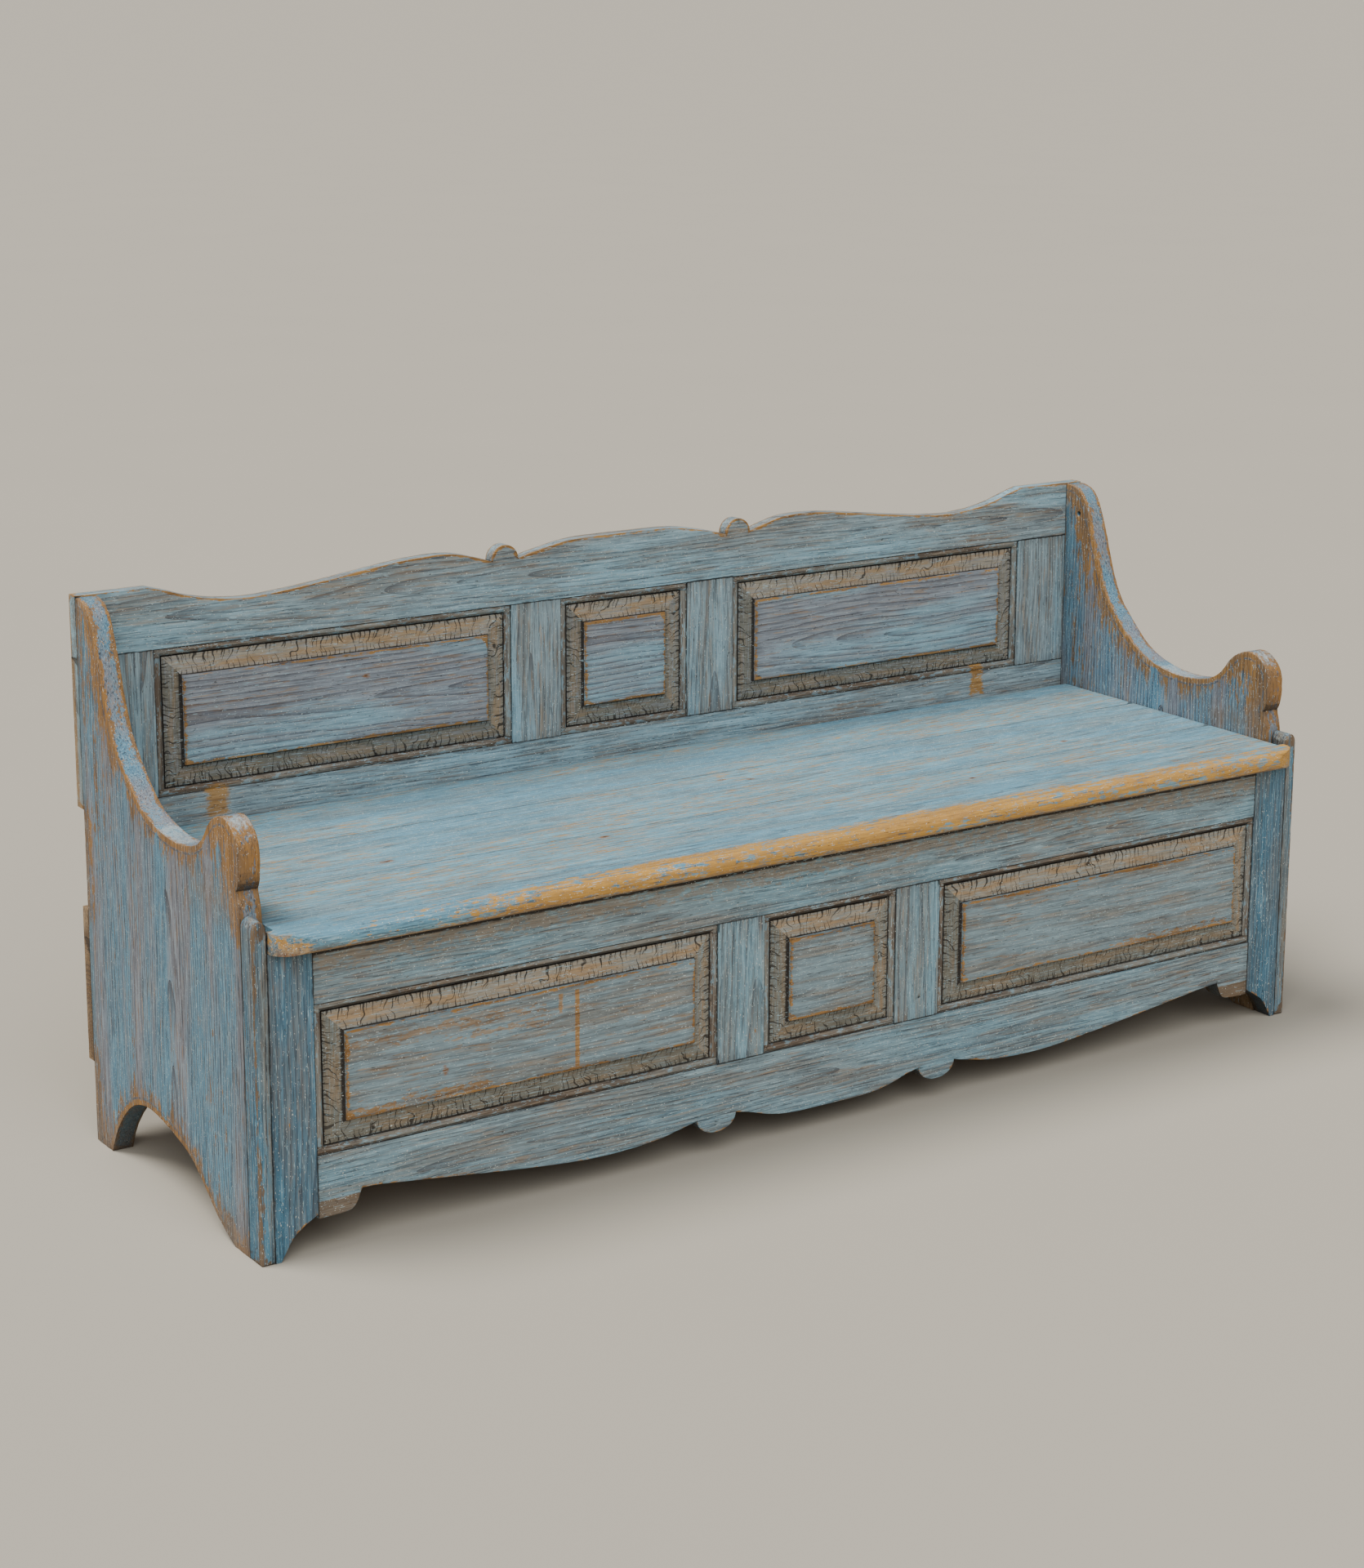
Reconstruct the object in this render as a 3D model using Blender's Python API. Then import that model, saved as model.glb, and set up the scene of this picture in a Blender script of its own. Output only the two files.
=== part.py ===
"""Painted pine settle pew: two swooped end boards, a panelled front with a shaped
apron, a panelled back with a scrolled crest, and a hinged seat over a storage box."""
import math

import bmesh
import bpy
from mathutils import Matrix

# ---- overall sizes, metres ----
LENGTH = 1.850
HALF = LENGTH / 2
GAP = 0.0003                # clearance left between touching pieces
SEAT_TOP = 0.458
LID_THICK = 0.029
LID_OVERHANG = 0.038        # lid nosing in front of the front frame
BOARD_THICK = 0.032         # end boards
BOARD_REAR = 0.543          # depth from the front frame's face to the end boards' rear edge
FRONT_THICK = 0.035
BACK_THICK = 0.022
DEPTH = LID_OVERHANG + BOARD_REAR + GAP + BACK_THICK
FRONT_Y = LID_OVERHANG - DEPTH / 2       # front face of the front frame
REAR_Y = FRONT_Y + BOARD_REAR            # rear edge of the end boards
BACK_Y = REAR_Y + GAP                    # front face of the back frame
INNER = HALF - BOARD_THICK               # inner face of an end board
RAIL_TOP = SEAT_TOP - LID_THICK - GAP    # top of the front rail, which the lid rests on

# ---- front frame ----
STRIP_WIDE = 0.020          # corner strip beside each front stile
STRIP_TOP = 0.474
STILE_OUT = HALF - STRIP_WIDE - GAP
FRONT_OPENINGS = ((-0.840, -0.200), (-0.119, 0.119), (0.200, 0.840))
FRONT_LOW = 0.137
FRONT_HIGH = 0.348
MOULD = 0.012               # width of the moulding cut on the frame's edges
TRIM = 0.0002               # how far the moulding's cut runs past the members' edges
STAGGER = 0.0002            # keeps a member's shoulders from lying on one line
FOOT_CUT_TOP = 0.056

# ---- back frame ----
BACK_SHIFT = -0.010         # the back's openings sit a little off centre
BACK_OPENINGS = tuple((a + BACK_SHIFT, b + BACK_SHIFT)
                      for a, b in ((-0.799, -0.207), (-0.118, 0.118), (0.207, 0.799)))
BACK_LOW = 0.4995
BACK_HIGH = 0.719
CREST_FLAT = 0.810
KNOB_X = 0.216
KNOB_HALF = 0.023
KNOB_TOP = 0.813
KNOB_FOOT = 0.7895
SHORT_END = HALF - 0.016    # half length of the seat rail and the board under it

# panel depths behind the frame's face: field, foot of its step, bevel's outer lip, tongue
FRONT_PANEL = {"field": -0.0065, "step": -0.0005, "lip": 0.0045, "edge": 0.0150, "back": 0.0240}
BACK_PANEL = {"field": -0.0035, "step": 0.0015, "lip": 0.0045, "edge": 0.0100, "back": 0.0165}
BEVEL_WIDE = 0.030
STEP_WIDE = 0.0015
TONGUE = 0.007
BEAD_DEPTH = 0.0055         # depth of the moulding at the panel

# ---- lid ----
LID_SIDE = INNER - 0.0010
LID_HORN = STILE_OUT - 0.0010            # half length of the nosing, between the corner strips
HORN_DEPTH = 0.008                       # how far the wider nosing reaches behind the front face
LID_CORNER = (0.085, 0.040)                 # how far the nosing's rounded corners run along and across
LID_REAR_GAP = 0.0050       # clears the back panels' fields when the lid stands open
AXIS_Z = SEAT_TOP - LID_THICK / 2
AXIS_Y = BACK_Y - LID_REAR_GAP - LID_THICK / 2
LID_JOINTS = (0.165, 0.352)              # depths of the joints between the lid's boards
BATTENS = (-0.640, 0.0, 0.640)
BATTEN = (0.050, 0.430, 0.020)
BATTEN_FRONT = 0.062
PIN_RADIUS = 0.006
PIN_PLAY = 0.0005           # around the pin in the end board's hole
PIN_START = 0.866
PIN_END = 0.912

# ---- storage box and lower back ----
FLOOR_LOW = 0.136
FLOOR_THICK = 0.018
CLEAT = 0.022
LOWER_BACK = (("lower_back_board_top", 0.352, RAIL_TOP + 0.0007, SHORT_END),
              ("lower_back_board_middle", 0.306, 0.352, HALF),
              ("lower_back_board_bottom", 0.120, 0.306, HALF))
LOWER_THICK = 0.020
NAIL_RADIUS = 0.0028
NAIL_LONG = 0.055
NAIL_X = 0.902
NAILS = (0.770, 0.610, 0.466, 0.392, 0.329, 0.210)

BLUE = (0.20, 0.31, 0.38)
GREY_BLUE = (0.19, 0.25, 0.29)
PALE_BLUE = (0.27, 0.41, 0.50)
PINE = (0.50, 0.33, 0.17)
IRON = (0.06, 0.05, 0.05)

CURVE_STEPS = 8
ROUND_STEPS = 10
CYLINDER_SIDES = 20

for old in list(bpy.data.objects):
    bpy.data.objects.remove(old, do_unlink=True)

PARTS = bpy.data.collections.new("church_pew")
CUTTERS = bpy.data.collections.new("cutters")
bpy.context.scene.collection.children.link(PARTS)
bpy.context.scene.collection.children.link(CUTTERS)


# ---- materials ----
def finish(name, colour, roughness=0.7, metallic=0.0):
    material = bpy.data.materials.new(name)
    material.use_nodes = True
    shader = material.node_tree.nodes["Principled BSDF"]
    shader.inputs["Base Color"].default_value = (*colour, 1.0)
    shader.inputs["Roughness"].default_value = roughness
    shader.inputs["Metallic"].default_value = metallic
    material.diffuse_color = (*colour, 1.0)
    return material


# ---- outlines ----
def smooth(points, steps=CURVE_STEPS):
    """Points along a Catmull-Rom curve through the given ones."""
    ends = [points[0]] + list(points) + [points[-1]]
    out = []
    for a, b, c, d in zip(ends, ends[1:], ends[2:], ends[3:]):
        for k in range(steps):
            t = k / steps
            out.append(tuple(0.5 * (2 * q + (r - p) * t + (2 * p - 5 * q + 4 * r - s) * t * t
                                    + (3 * q - p - 3 * r + s) * t ** 3)
                             for p, q, r, s in zip(a, b, c, d)))
    out.append(tuple(points[-1]))
    return out


def arc(centre, radii, start, end, steps=ROUND_STEPS):
    """Points on an ellipse's arc, angles in degrees."""
    out = []
    for k in range(steps + 1):
        angle = math.radians(start + (end - start) * k / steps)
        out.append((centre[0] + radii[0] * math.cos(angle), centre[1] + radii[1] * math.sin(angle)))
    return out


def mirrored(half):
    """A half outline, from the middle outward, with its mirror image: left end to right end."""
    left = [(-x, z) for x, z in reversed(half)]
    return left[:-1] + half if abs(half[0][0]) < GAP else left + half


# ---- meshes and objects ----
def add(name, mesh, material=None, location=(0, 0, 0), rotation=(0, 0, 0)):
    thing = bpy.data.objects.new(name, mesh)
    thing.location = location
    thing.rotation_euler = rotation
    if material:
        mesh.materials.append(finish(name, *material))
        PARTS.objects.link(thing)
    else:
        thing.hide_render = True
        thing.display_type = "WIRE"
        CUTTERS.objects.link(thing)
    return thing


def box(name, low, high, material=None):
    """A block between two corners."""
    mesh = bpy.data.meshes.new(name)
    shape = bmesh.new()
    bmesh.ops.create_cube(shape, size=1.0)
    size = [b - a for a, b in zip(low, high)]
    bmesh.ops.scale(shape, vec=size, verts=shape.verts)
    shape.to_mesh(mesh)
    shape.free()
    middle = [(a + b) / 2 for a, b in zip(low, high)]
    return add(name, mesh, material, middle)


def rod(name, low, high, radius, axis, material=None):
    """A round rod along X or Y, from low to high."""
    mesh = bpy.data.meshes.new(name)
    shape = bmesh.new()
    length = math.dist(low, high)
    bmesh.ops.create_cone(shape, cap_ends=True, segments=CYLINDER_SIDES,
                          radius1=radius, radius2=radius, depth=length)
    shape.to_mesh(mesh)
    shape.free()
    mesh.shade_smooth()
    mesh.set_sharp_from_angle(angle=math.radians(40))
    turn = (0, math.pi / 2, 0) if axis == "x" else (math.pi / 2, 0, 0)
    middle = [(a + b) / 2 for a, b in zip(low, high)]
    return add(name, mesh, material, middle, turn)


PLANES = {"front": (math.pi / 2, 0, 0),
          "side": (math.pi / 2, 0, math.pi / 2),
          "plan": (0, 0, 0)}


def board(name, outline, thick, middle, plane, material=None):
    """A flat outline given a thickness, centred on `middle` along the plane's normal."""
    curve = bpy.data.curves.new(name, "CURVE")
    curve.dimensions = "2D"
    curve.fill_mode = "BOTH"
    curve.extrude = thick / 2
    spline = curve.splines.new("POLY")
    spline.points.add(len(outline) - 1)
    for point, (u, v) in zip(spline.points, outline):
        point.co = (u, v, 0, 1)
    spline.use_cyclic_u = True
    flat = bpy.data.objects.new(name + "_outline", curve)
    CUTTERS.objects.link(flat)
    place = {"front": (0, middle, 0), "side": (middle, 0, 0), "plan": (0, 0, middle)}[plane]
    flat.location = place
    flat.rotation_euler = PLANES[plane]
    bpy.context.view_layer.update()
    graph = bpy.context.evaluated_depsgraph_get()
    mesh = bpy.data.meshes.new_from_object(flat.evaluated_get(graph))
    mesh.materials.clear()
    shape = bmesh.new()
    shape.from_mesh(mesh)
    bmesh.ops.remove_doubles(shape, verts=shape.verts, dist=0.00001)
    bmesh.ops.recalc_face_normals(shape, faces=shape.faces)
    shape.to_mesh(mesh)
    shape.free()
    mesh.name = name
    thing = add(name, mesh, material)
    thing.matrix_world = flat.matrix_world.copy()
    bpy.data.objects.remove(flat, do_unlink=True)
    return thing


def rectangles(name, rings, centre, face_y, material=None):
    """A loft through rectangles facing -Y; each ring is half width, half height and depth."""
    mesh = bpy.data.meshes.new(name)
    shape = bmesh.new()
    loops = []
    for half_x, half_z, depth in rings:
        corners = ((-half_x, -half_z), (half_x, -half_z), (half_x, half_z), (-half_x, half_z))
        loops.append([shape.verts.new((x, depth, z)) for x, z in corners])
    for near, far in zip(loops, loops[1:]):
        for k in range(4):
            shape.faces.new((near[k], near[(k + 1) % 4], far[(k + 1) % 4], far[k]))
    shape.faces.new(loops[0])
    shape.faces.new(loops[-1])
    bmesh.ops.recalc_face_normals(shape, faces=shape.faces)
    shape.to_mesh(mesh)
    shape.free()
    return add(name, mesh, material, (centre[0], face_y, centre[1]))


def change(piece, tool, operation):
    boolean = piece.modifiers.new(tool.name, "BOOLEAN")
    boolean.operation = operation
    boolean.solver = "EXACT"
    boolean.object = tool


def tenon(rail, post, low, high):
    """A tenon joined to one member and its mortise, a little larger, cut in the other."""
    change(rail, box(f"{rail.name}_tenon_{post.name}", low, high), "UNION")
    wide = [c - GAP for c in low], [c + GAP for c in high]
    change(post, box(f"{post.name}_mortise_{rail.name}", *wide), "DIFFERENCE")


# ---- framed panelling ----
def upright_outline(low_x, high_x, low, high, strips):
    """A stile or muntin, widened by the moulding's strip between the rails."""
    left, right = strips
    bottom, top = low + MOULD + GAP, high - MOULD - GAP
    points = [(low_x, low + GAP), (high_x, low + GAP)]
    if right:
        points += [(high_x, bottom), (high_x + MOULD, bottom), (high_x + MOULD, top), (high_x, top)]
    points += [(high_x, high - GAP), (low_x, high - GAP)]
    if left:
        top, bottom = top - STAGGER, bottom + STAGGER
        points += [(low_x, top), (low_x - MOULD, top), (low_x - MOULD, bottom), (low_x, bottom)]
    return points


def rail_edge(openings, z, side):
    """A rail's panelled edge, left to right, stepped out by the moulding at each opening."""
    points = []
    for left, right in openings:
        points += [(left, z), (left, z + side * MOULD), (right, z + side * MOULD), (right, z)]
    return points


def moulding_rings(width, height, thick):
    """The cut that leaves a quirk and a bead round an opening, then goes through the frame."""
    bead = ((-TRIM, 0.30), (0.002, 0.30), (0.0035, 0.08), (0.0065, 0.05), (0.0090, 0.35),
            (0.0110, 0.75), (MOULD - TRIM, 1.0))
    past = 0.004
    profile = [(-TRIM, -past)] + [(inset, share * BEAD_DEPTH) for inset, share in bead]
    profile.append((MOULD - TRIM, thick + past))
    return [(width / 2 - inset, height / 2 - inset, deep) for inset, deep in profile]


def panel_rings(width, height, panel):
    """A fielded panel: tongue, sloping bevel, small step and flat field."""
    sight = (width / 2 - MOULD, height / 2 - MOULD)
    profile = ((TONGUE, panel["back"]), (TONGUE, panel["edge"]), (-2 * GAP, panel["edge"]),
               (-2 * GAP, panel["lip"]), (-BEVEL_WIDE, panel["step"]),
               (-BEVEL_WIDE - STEP_WIDE, panel["field"]))
    return [(sight[0] + out, sight[1] + out, deep) for out, deep in profile]


def fit_panels(prefix, openings, low, high, face_y, thick, panel, members, colour):
    """Cut each opening's moulding and groove in its members and set the panel in it."""
    for label, (left, right) in zip(("left", "centre", "right"), openings):
        centre = ((left + right) / 2, (low + high) / 2)
        width, height = right - left, high - low
        hole = rectangles(f"{prefix}_hole_{label}", moulding_rings(width, height, thick),
                          centre, face_y)
        reach = TONGUE - MOULD + 0.0005
        groove = box(f"{prefix}_groove_{label}",
                     (left - reach, face_y + panel["edge"] - GAP, low - reach),
                     (right + reach, face_y + panel["back"] + GAP, high + reach))
        for member in members[label]:
            change(member, hole, "DIFFERENCE")
            change(member, groove, "DIFFERENCE")
        rectangles(f"{prefix}_panel_{label}", panel_rings(width, height, panel),
                   centre, face_y, (colour, 0.75))


# ---- ends ----
def end_board_outline():
    """Side view: straight back, swooped arm rest, rounded hand rest, nick, arched foot."""
    swoop = smooth([(0.543, 0.808), (0.526, 0.807), (0.508, 0.800), (0.495, 0.786), (0.482, 0.760),
                    (0.468, 0.724), (0.452, 0.676), (0.429, 0.628), (0.392, 0.588), (0.354, 0.556),
                    (0.314, 0.538), (0.262, 0.528), (0.212, 0.528), (0.171, 0.537), (0.146, 0.552),
                    (0.129, 0.573), (0.108, 0.590), (0.080, 0.597), (0.055, 0.588), (0.039, 0.568),
                    (0.0355, 0.540), (0.039, 0.516), (0.044, 0.506)], 3)
    nick = smooth([(0.0425, 0.499), (0.038, 0.484), (0.0355, 0.470)], 2)
    front = [(FRONT_THICK + GAP, 0.300), (FRONT_THICK + GAP, 0.0)]
    arch = smooth([(0.081, 0.0), (0.120, 0.017), (0.155, 0.041), (0.187, 0.065), (0.225, 0.087),
                   (0.285, 0.102), (0.344, 0.110), (0.388, 0.103), (0.422, 0.086), (0.450, 0.060),
                   (0.472, 0.032), (0.489, 0.0)], 3)
    return [(FRONT_Y + y, z) for y, z in swoop + nick + front + arch + [(0.543, 0.0)]]


def make_ends():
    boards = []
    for side, label in ((-1, "left"), (1, "right")):
        middle = side * (HALF - BOARD_THICK / 2)
        boards.append(board(f"end_board_{label}", end_board_outline(), BOARD_THICK, middle,
                            "side", (BLUE, 0.75)))
        inner, outer = HALF - STRIP_WIDE, HALF
        top = arc((side * (inner + outer) / 2, STRIP_TOP - 0.016), (STRIP_WIDE / 2, 0.016), 0, 180)
        outline = [(side * inner if side > 0 else -outer, 0.0),
                   (side * outer if side > 0 else -inner, 0.0)] + top
        board(f"corner_strip_{label}", outline, FRONT_THICK, FRONT_Y + FRONT_THICK / 2,
              "front", (BLUE, 0.7))
    return boards


# ---- front ----
def apron_outline():
    """The shaped lower rail: end brackets, ogee sweeps, two round drops, moulded top edge."""
    centre = smooth([(0.0, 0.036), (0.065, 0.0365), (0.106, 0.042), (0.144, 0.053), (0.167, 0.058)])
    drop = arc((0.201, 0.058), (0.034, 0.0235), 180, 360, 14)
    sweep = smooth([(0.235, 0.058), (0.270, 0.0505), (0.302, 0.0445), (0.352, 0.0405),
                    (0.400, 0.040), (0.449, 0.0425), (0.533, 0.051), (0.636, 0.0635),
                    (0.739, 0.0765), (0.774, 0.079)])
    bracket = smooth([(0.777, 0.072), (0.784, 0.058), (0.797, 0.0505), (0.840 - GAP, 0.049)], 3)
    bottom = mirrored(centre + drop[1:-1] + sweep + bracket)
    end = FRONT_OPENINGS[-1][1] - GAP
    edge = [(min(max(x, -end), end), z) for x, z in rail_edge(FRONT_OPENINGS, FRONT_LOW, 1)]
    return bottom + edge[::-1][1:-1]


def front_stile_outline(side):
    """A leg of the front frame, with the foot's inner curve."""
    inner = FRONT_OPENINGS[-1][1]
    foot = smooth([(0.896, 0.0), (0.878, 0.030), (0.860, 0.044), (inner, FOOT_CUT_TOP)], 4)
    bottom = FRONT_LOW + MOULD + GAP
    top = FRONT_HIGH - MOULD - GAP
    points = [(STILE_OUT, 0.0)] + foot + [(inner, bottom), (inner - MOULD, bottom),
                                          (inner - MOULD, top), (inner, top),
                                          (inner, RAIL_TOP), (STILE_OUT, RAIL_TOP)]
    return [(side * x, z) for x, z in points]


def make_front():
    middle = FRONT_Y + FRONT_THICK / 2
    look = (BLUE, 0.75)

    def member(name, outline):
        return board(name, outline, FRONT_THICK, middle, "front", look)

    end = FRONT_OPENINGS[-1][1] - GAP
    top_edge = [(min(max(x, -end), end), z) for x, z in rail_edge(FRONT_OPENINGS, FRONT_HIGH, -1)]
    rail = member("front_top_rail", top_edge[1:-1] + [(end, RAIL_TOP), (-end, RAIL_TOP)])
    apron = member("front_apron", apron_outline())
    stiles = [member("front_stile_left", front_stile_outline(-1)),
              member("front_stile_right", front_stile_outline(1))]
    muntins = []
    for label, left, right in (("left", 0, 1), ("right", 1, 2)):
        low_x = FRONT_OPENINGS[left][1] + GAP
        high_x = FRONT_OPENINGS[right][0] - GAP
        muntins.append(member(f"front_muntin_{label}",
                              upright_outline(low_x, high_x, FRONT_LOW, FRONT_HIGH, (True, True))))
    tongue_y = (FRONT_Y + 0.0145, FRONT_Y + 0.0245)
    for side, stile in ((-1, stiles[0]), (1, stiles[1])):
        near, far = side * (end - 0.004), side * (end + 0.038)
        for shelf, low, high in ((rail, 0.362, 0.412), (apron, 0.072, 0.118)):
            tenon(shelf, stile, (min(near, far), tongue_y[0], low), (max(near, far), tongue_y[1], high))
    for muntin, side in zip(muntins, (-1, 1)):
        xs = sorted((side * 0.135, side * 0.184))
        tenon(muntin, rail, (xs[0], tongue_y[0], FRONT_HIGH - 0.003), (xs[1], tongue_y[1], 0.378))
        tenon(muntin, apron, (xs[0], tongue_y[0], 0.108), (xs[1], tongue_y[1], FRONT_LOW + 0.003))
    members = {"left": (rail, apron, stiles[0], muntins[0]),
               "centre": (rail, apron, muntins[0], muntins[1]),
               "right": (rail, apron, stiles[1], muntins[1])}
    fit_panels("front", FRONT_OPENINGS, FRONT_LOW, FRONT_HIGH, FRONT_Y, FRONT_THICK,
               FRONT_PANEL, members, GREY_BLUE)
    return apron


# ---- back ----
def crest_outline():
    """The scrolled top rail: a centre hump, two knobs and long sweeps to flat ends."""
    hump = smooth([(0.0, 0.811), (0.075, 0.8105), (0.110, 0.8075), (0.140, 0.802), (0.168, 0.796),
                   (KNOB_X - KNOB_HALF, KNOB_FOOT)])
    knob = arc((KNOB_X, KNOB_FOOT), (KNOB_HALF, KNOB_TOP - KNOB_FOOT), 180, 0, 14)
    sweep = smooth([(KNOB_X + KNOB_HALF, KNOB_FOOT), (0.270, 0.799), (0.298, 0.806), (0.325, 0.8088),
                    (0.355, 0.8085), (0.400, 0.8055), (0.460, 0.798), (0.530, 0.789),
                    (0.590, 0.7825), (0.648, 0.779), (0.700, 0.783), (0.740, 0.791),
                    (0.775, 0.802), (0.803, CREST_FLAT)])
    top = [(x + BACK_SHIFT, z) for x, z in mirrored(hump + knob[1:-1] + sweep)]
    top = [(-HALF, CREST_FLAT)] + top + [(HALF, CREST_FLAT)]
    under = [(-HALF, BACK_HIGH)]
    for count, opening in enumerate(BACK_OPENINGS):
        first, second, third, fourth = rail_edge([opening], BACK_HIGH, -1)
        under += [(first[0], BACK_HIGH + count * STAGGER), second, third,
                  (fourth[0], BACK_HIGH + (count + 1) * STAGGER)]
    under.append((HALF, BACK_HIGH + len(BACK_OPENINGS) * STAGGER))
    return under + top[::-1]


def make_back():
    middle = BACK_Y + BACK_THICK / 2
    look = (BLUE, 0.75)

    def member(name, outline):
        return board(name, outline, BACK_THICK, middle, "front", look)

    crest = member("back_crest_rail", crest_outline())
    low = RAIL_TOP + 0.001
    seat_rail = member("back_seat_rail",
                       [(-SHORT_END, low), (SHORT_END, low), (SHORT_END, BACK_LOW)]
                       + rail_edge(BACK_OPENINGS, BACK_LOW, 1)[::-1] + [(-SHORT_END, BACK_LOW)])
    stiles = [member("back_stile_left",
                     upright_outline(-HALF, BACK_OPENINGS[0][0] - GAP, BACK_LOW, BACK_HIGH, (False, True))),
              member("back_stile_right",
                     upright_outline(BACK_OPENINGS[2][1] + GAP, HALF, BACK_LOW, BACK_HIGH, (True, False)))]
    muntins = [member("back_muntin_left",
                      upright_outline(BACK_OPENINGS[0][1] + GAP, BACK_OPENINGS[1][0] - GAP,
                                      BACK_LOW, BACK_HIGH, (True, True))),
               member("back_muntin_right",
                      upright_outline(BACK_OPENINGS[1][1] + GAP, BACK_OPENINGS[2][0] - GAP,
                                      BACK_LOW, BACK_HIGH, (True, True)))]
    tongue_y = (BACK_Y + 0.0095, BACK_Y + 0.0170)
    for post, centre, half in ((stiles[0], -0.868, 0.026), (stiles[1], 0.862, 0.026),
                               (muntins[0], -0.1725, 0.024), (muntins[1], 0.1525, 0.024)):
        tenon(post, crest, (centre - half, tongue_y[0], BACK_HIGH - 0.003),
              (centre + half, tongue_y[1], 0.752))
        tenon(post, seat_rail, (centre - half, tongue_y[0], 0.470),
              (centre + half, tongue_y[1], BACK_LOW + 0.003))
    members = {"left": (crest, seat_rail, stiles[0], muntins[0]),
               "centre": (crest, seat_rail, muntins[0], muntins[1]),
               "right": (crest, seat_rail, stiles[1], muntins[1])}
    fit_panels("back", BACK_OPENINGS, BACK_LOW, BACK_HIGH, BACK_Y, BACK_THICK,
               BACK_PANEL, members, GREY_BLUE)
    return crest, seat_rail, stiles


# ---- seat lid ----
def lid_section(front, rear):
    """A lid board's section; the outer ones end in a half round."""
    low, high = SEAT_TOP - LID_THICK, SEAT_TOP
    radius = LID_THICK / 2
    points = []
    if front < 0:
        points += arc((FRONT_Y + front + radius, AXIS_Z), (radius, radius), 90, 270)
    else:
        points += [(FRONT_Y + front, high), (FRONT_Y + front, low)]
    if rear is None:
        points += arc((AXIS_Y, AXIS_Z), (radius, radius), -90, 90)
    else:
        points += [(FRONT_Y + rear, low), (FRONT_Y + rear, high)]
    return points


def nosing_plan():
    """The front lid board seen from above: wide nosing, rounded corners, notched for the ends."""
    front = FRONT_Y - LID_OVERHANG - 0.002
    along, across = LID_CORNER
    corner = arc((LID_HORN - along, front + across), LID_CORNER, -90, 0)
    half = [(0.0, front)] + corner + [(LID_HORN, FRONT_Y + HORN_DEPTH), (LID_SIDE, FRONT_Y + HORN_DEPTH),
                                      (LID_SIDE, FRONT_Y + LID_JOINTS[0] + 0.010)]
    return mirrored(half)


def make_lid():
    look = (PALE_BLUE, 0.65)
    spans = (("front", -LID_OVERHANG, LID_JOINTS[0] - GAP), ("middle", LID_JOINTS[0], LID_JOINTS[1] - GAP),
             ("rear", LID_JOINTS[1], None))
    boards = {}
    for label, front, rear in spans:
        length = 2 * (LID_HORN + 0.005 if label == "front" else LID_SIDE)
        boards[label] = board(f"lid_board_{label}", lid_section(front, rear), length, 0.0, "side", look)
    plan = board("nosing_plan", nosing_plan(), 3 * LID_THICK, AXIS_Z, "plan")
    change(boards["front"], plan, "INTERSECT")
    wide, long, thick = BATTEN
    top = SEAT_TOP - LID_THICK - GAP
    for label, x in zip(("left", "centre", "right"), BATTENS):
        box(f"lid_batten_{label}", (x - wide / 2, FRONT_Y + BATTEN_FRONT, top - thick),
            (x + wide / 2, FRONT_Y + BATTEN_FRONT + long, top), (PINE, 0.7))
    return boards["rear"]


def make_hinge(rear_board, end_boards):
    """A turned wooden pin at each end of the lid's rear edge, in blind holes."""
    for side, label, end_board in ((-1, "left", end_boards[0]), (1, "right", end_boards[1])):
        start = (side * PIN_START, AXIS_Y, AXIS_Z)
        end = (side * PIN_END, AXIS_Y, AXIS_Z)
        rod(f"hinge_pin_{label}", start, end, PIN_RADIUS, "x", (PINE, 0.6))
        deep = (side * (PIN_START - GAP), AXIS_Y, AXIS_Z)
        past = (side * (LID_SIDE + 0.003), AXIS_Y, AXIS_Z)
        change(rear_board, rod(f"lid_pin_hole_{label}", deep, past, PIN_RADIUS + GAP, "x"), "DIFFERENCE")
        mouth = (side * (INNER - 0.003), AXIS_Y, AXIS_Z)
        blind = (side * (PIN_END + 0.001), AXIS_Y, AXIS_Z)
        change(end_board, rod(f"board_pin_hole_{label}", mouth, blind, PIN_RADIUS + PIN_PLAY, "x"),
               "DIFFERENCE")


# ---- storage box and lower back ----
def make_box():
    look = (PINE, 0.8)
    near, far = FRONT_Y + FRONT_THICK + GAP, REAR_Y
    side = INNER - GAP
    wide = (far - near) / 3
    for k, label in enumerate(("front", "middle", "rear")):
        box(f"box_floor_board_{label}", (-side, near + k * wide + GAP / 2, FLOOR_LOW),
            (side, near + (k + 1) * wide - GAP / 2, FLOOR_LOW + FLOOR_THICK), look)
    low, high = FLOOR_LOW - GAP - CLEAT, FLOOR_LOW - GAP
    inner = side - CLEAT
    box("floor_cleat_left", (-side, near + GAP, low), (-inner, far - GAP, high), look)
    box("floor_cleat_right", (inner, near + GAP, low), (side, far - GAP, high), look)
    box("floor_cleat_front", (-inner + GAP, near, low), (inner - GAP, near + CLEAT, high), look)
    box("floor_cleat_back", (-inner + GAP, far - CLEAT, low), (inner - GAP, far, high), look)
    boards = {}
    for name, bottom, top, half in LOWER_BACK:
        boards[name] = box(name, (-half, BACK_Y, bottom + GAP / 2),
                           (half, BACK_Y + LOWER_THICK, top - GAP / 2), (BLUE, 0.8))
    return boards


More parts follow.
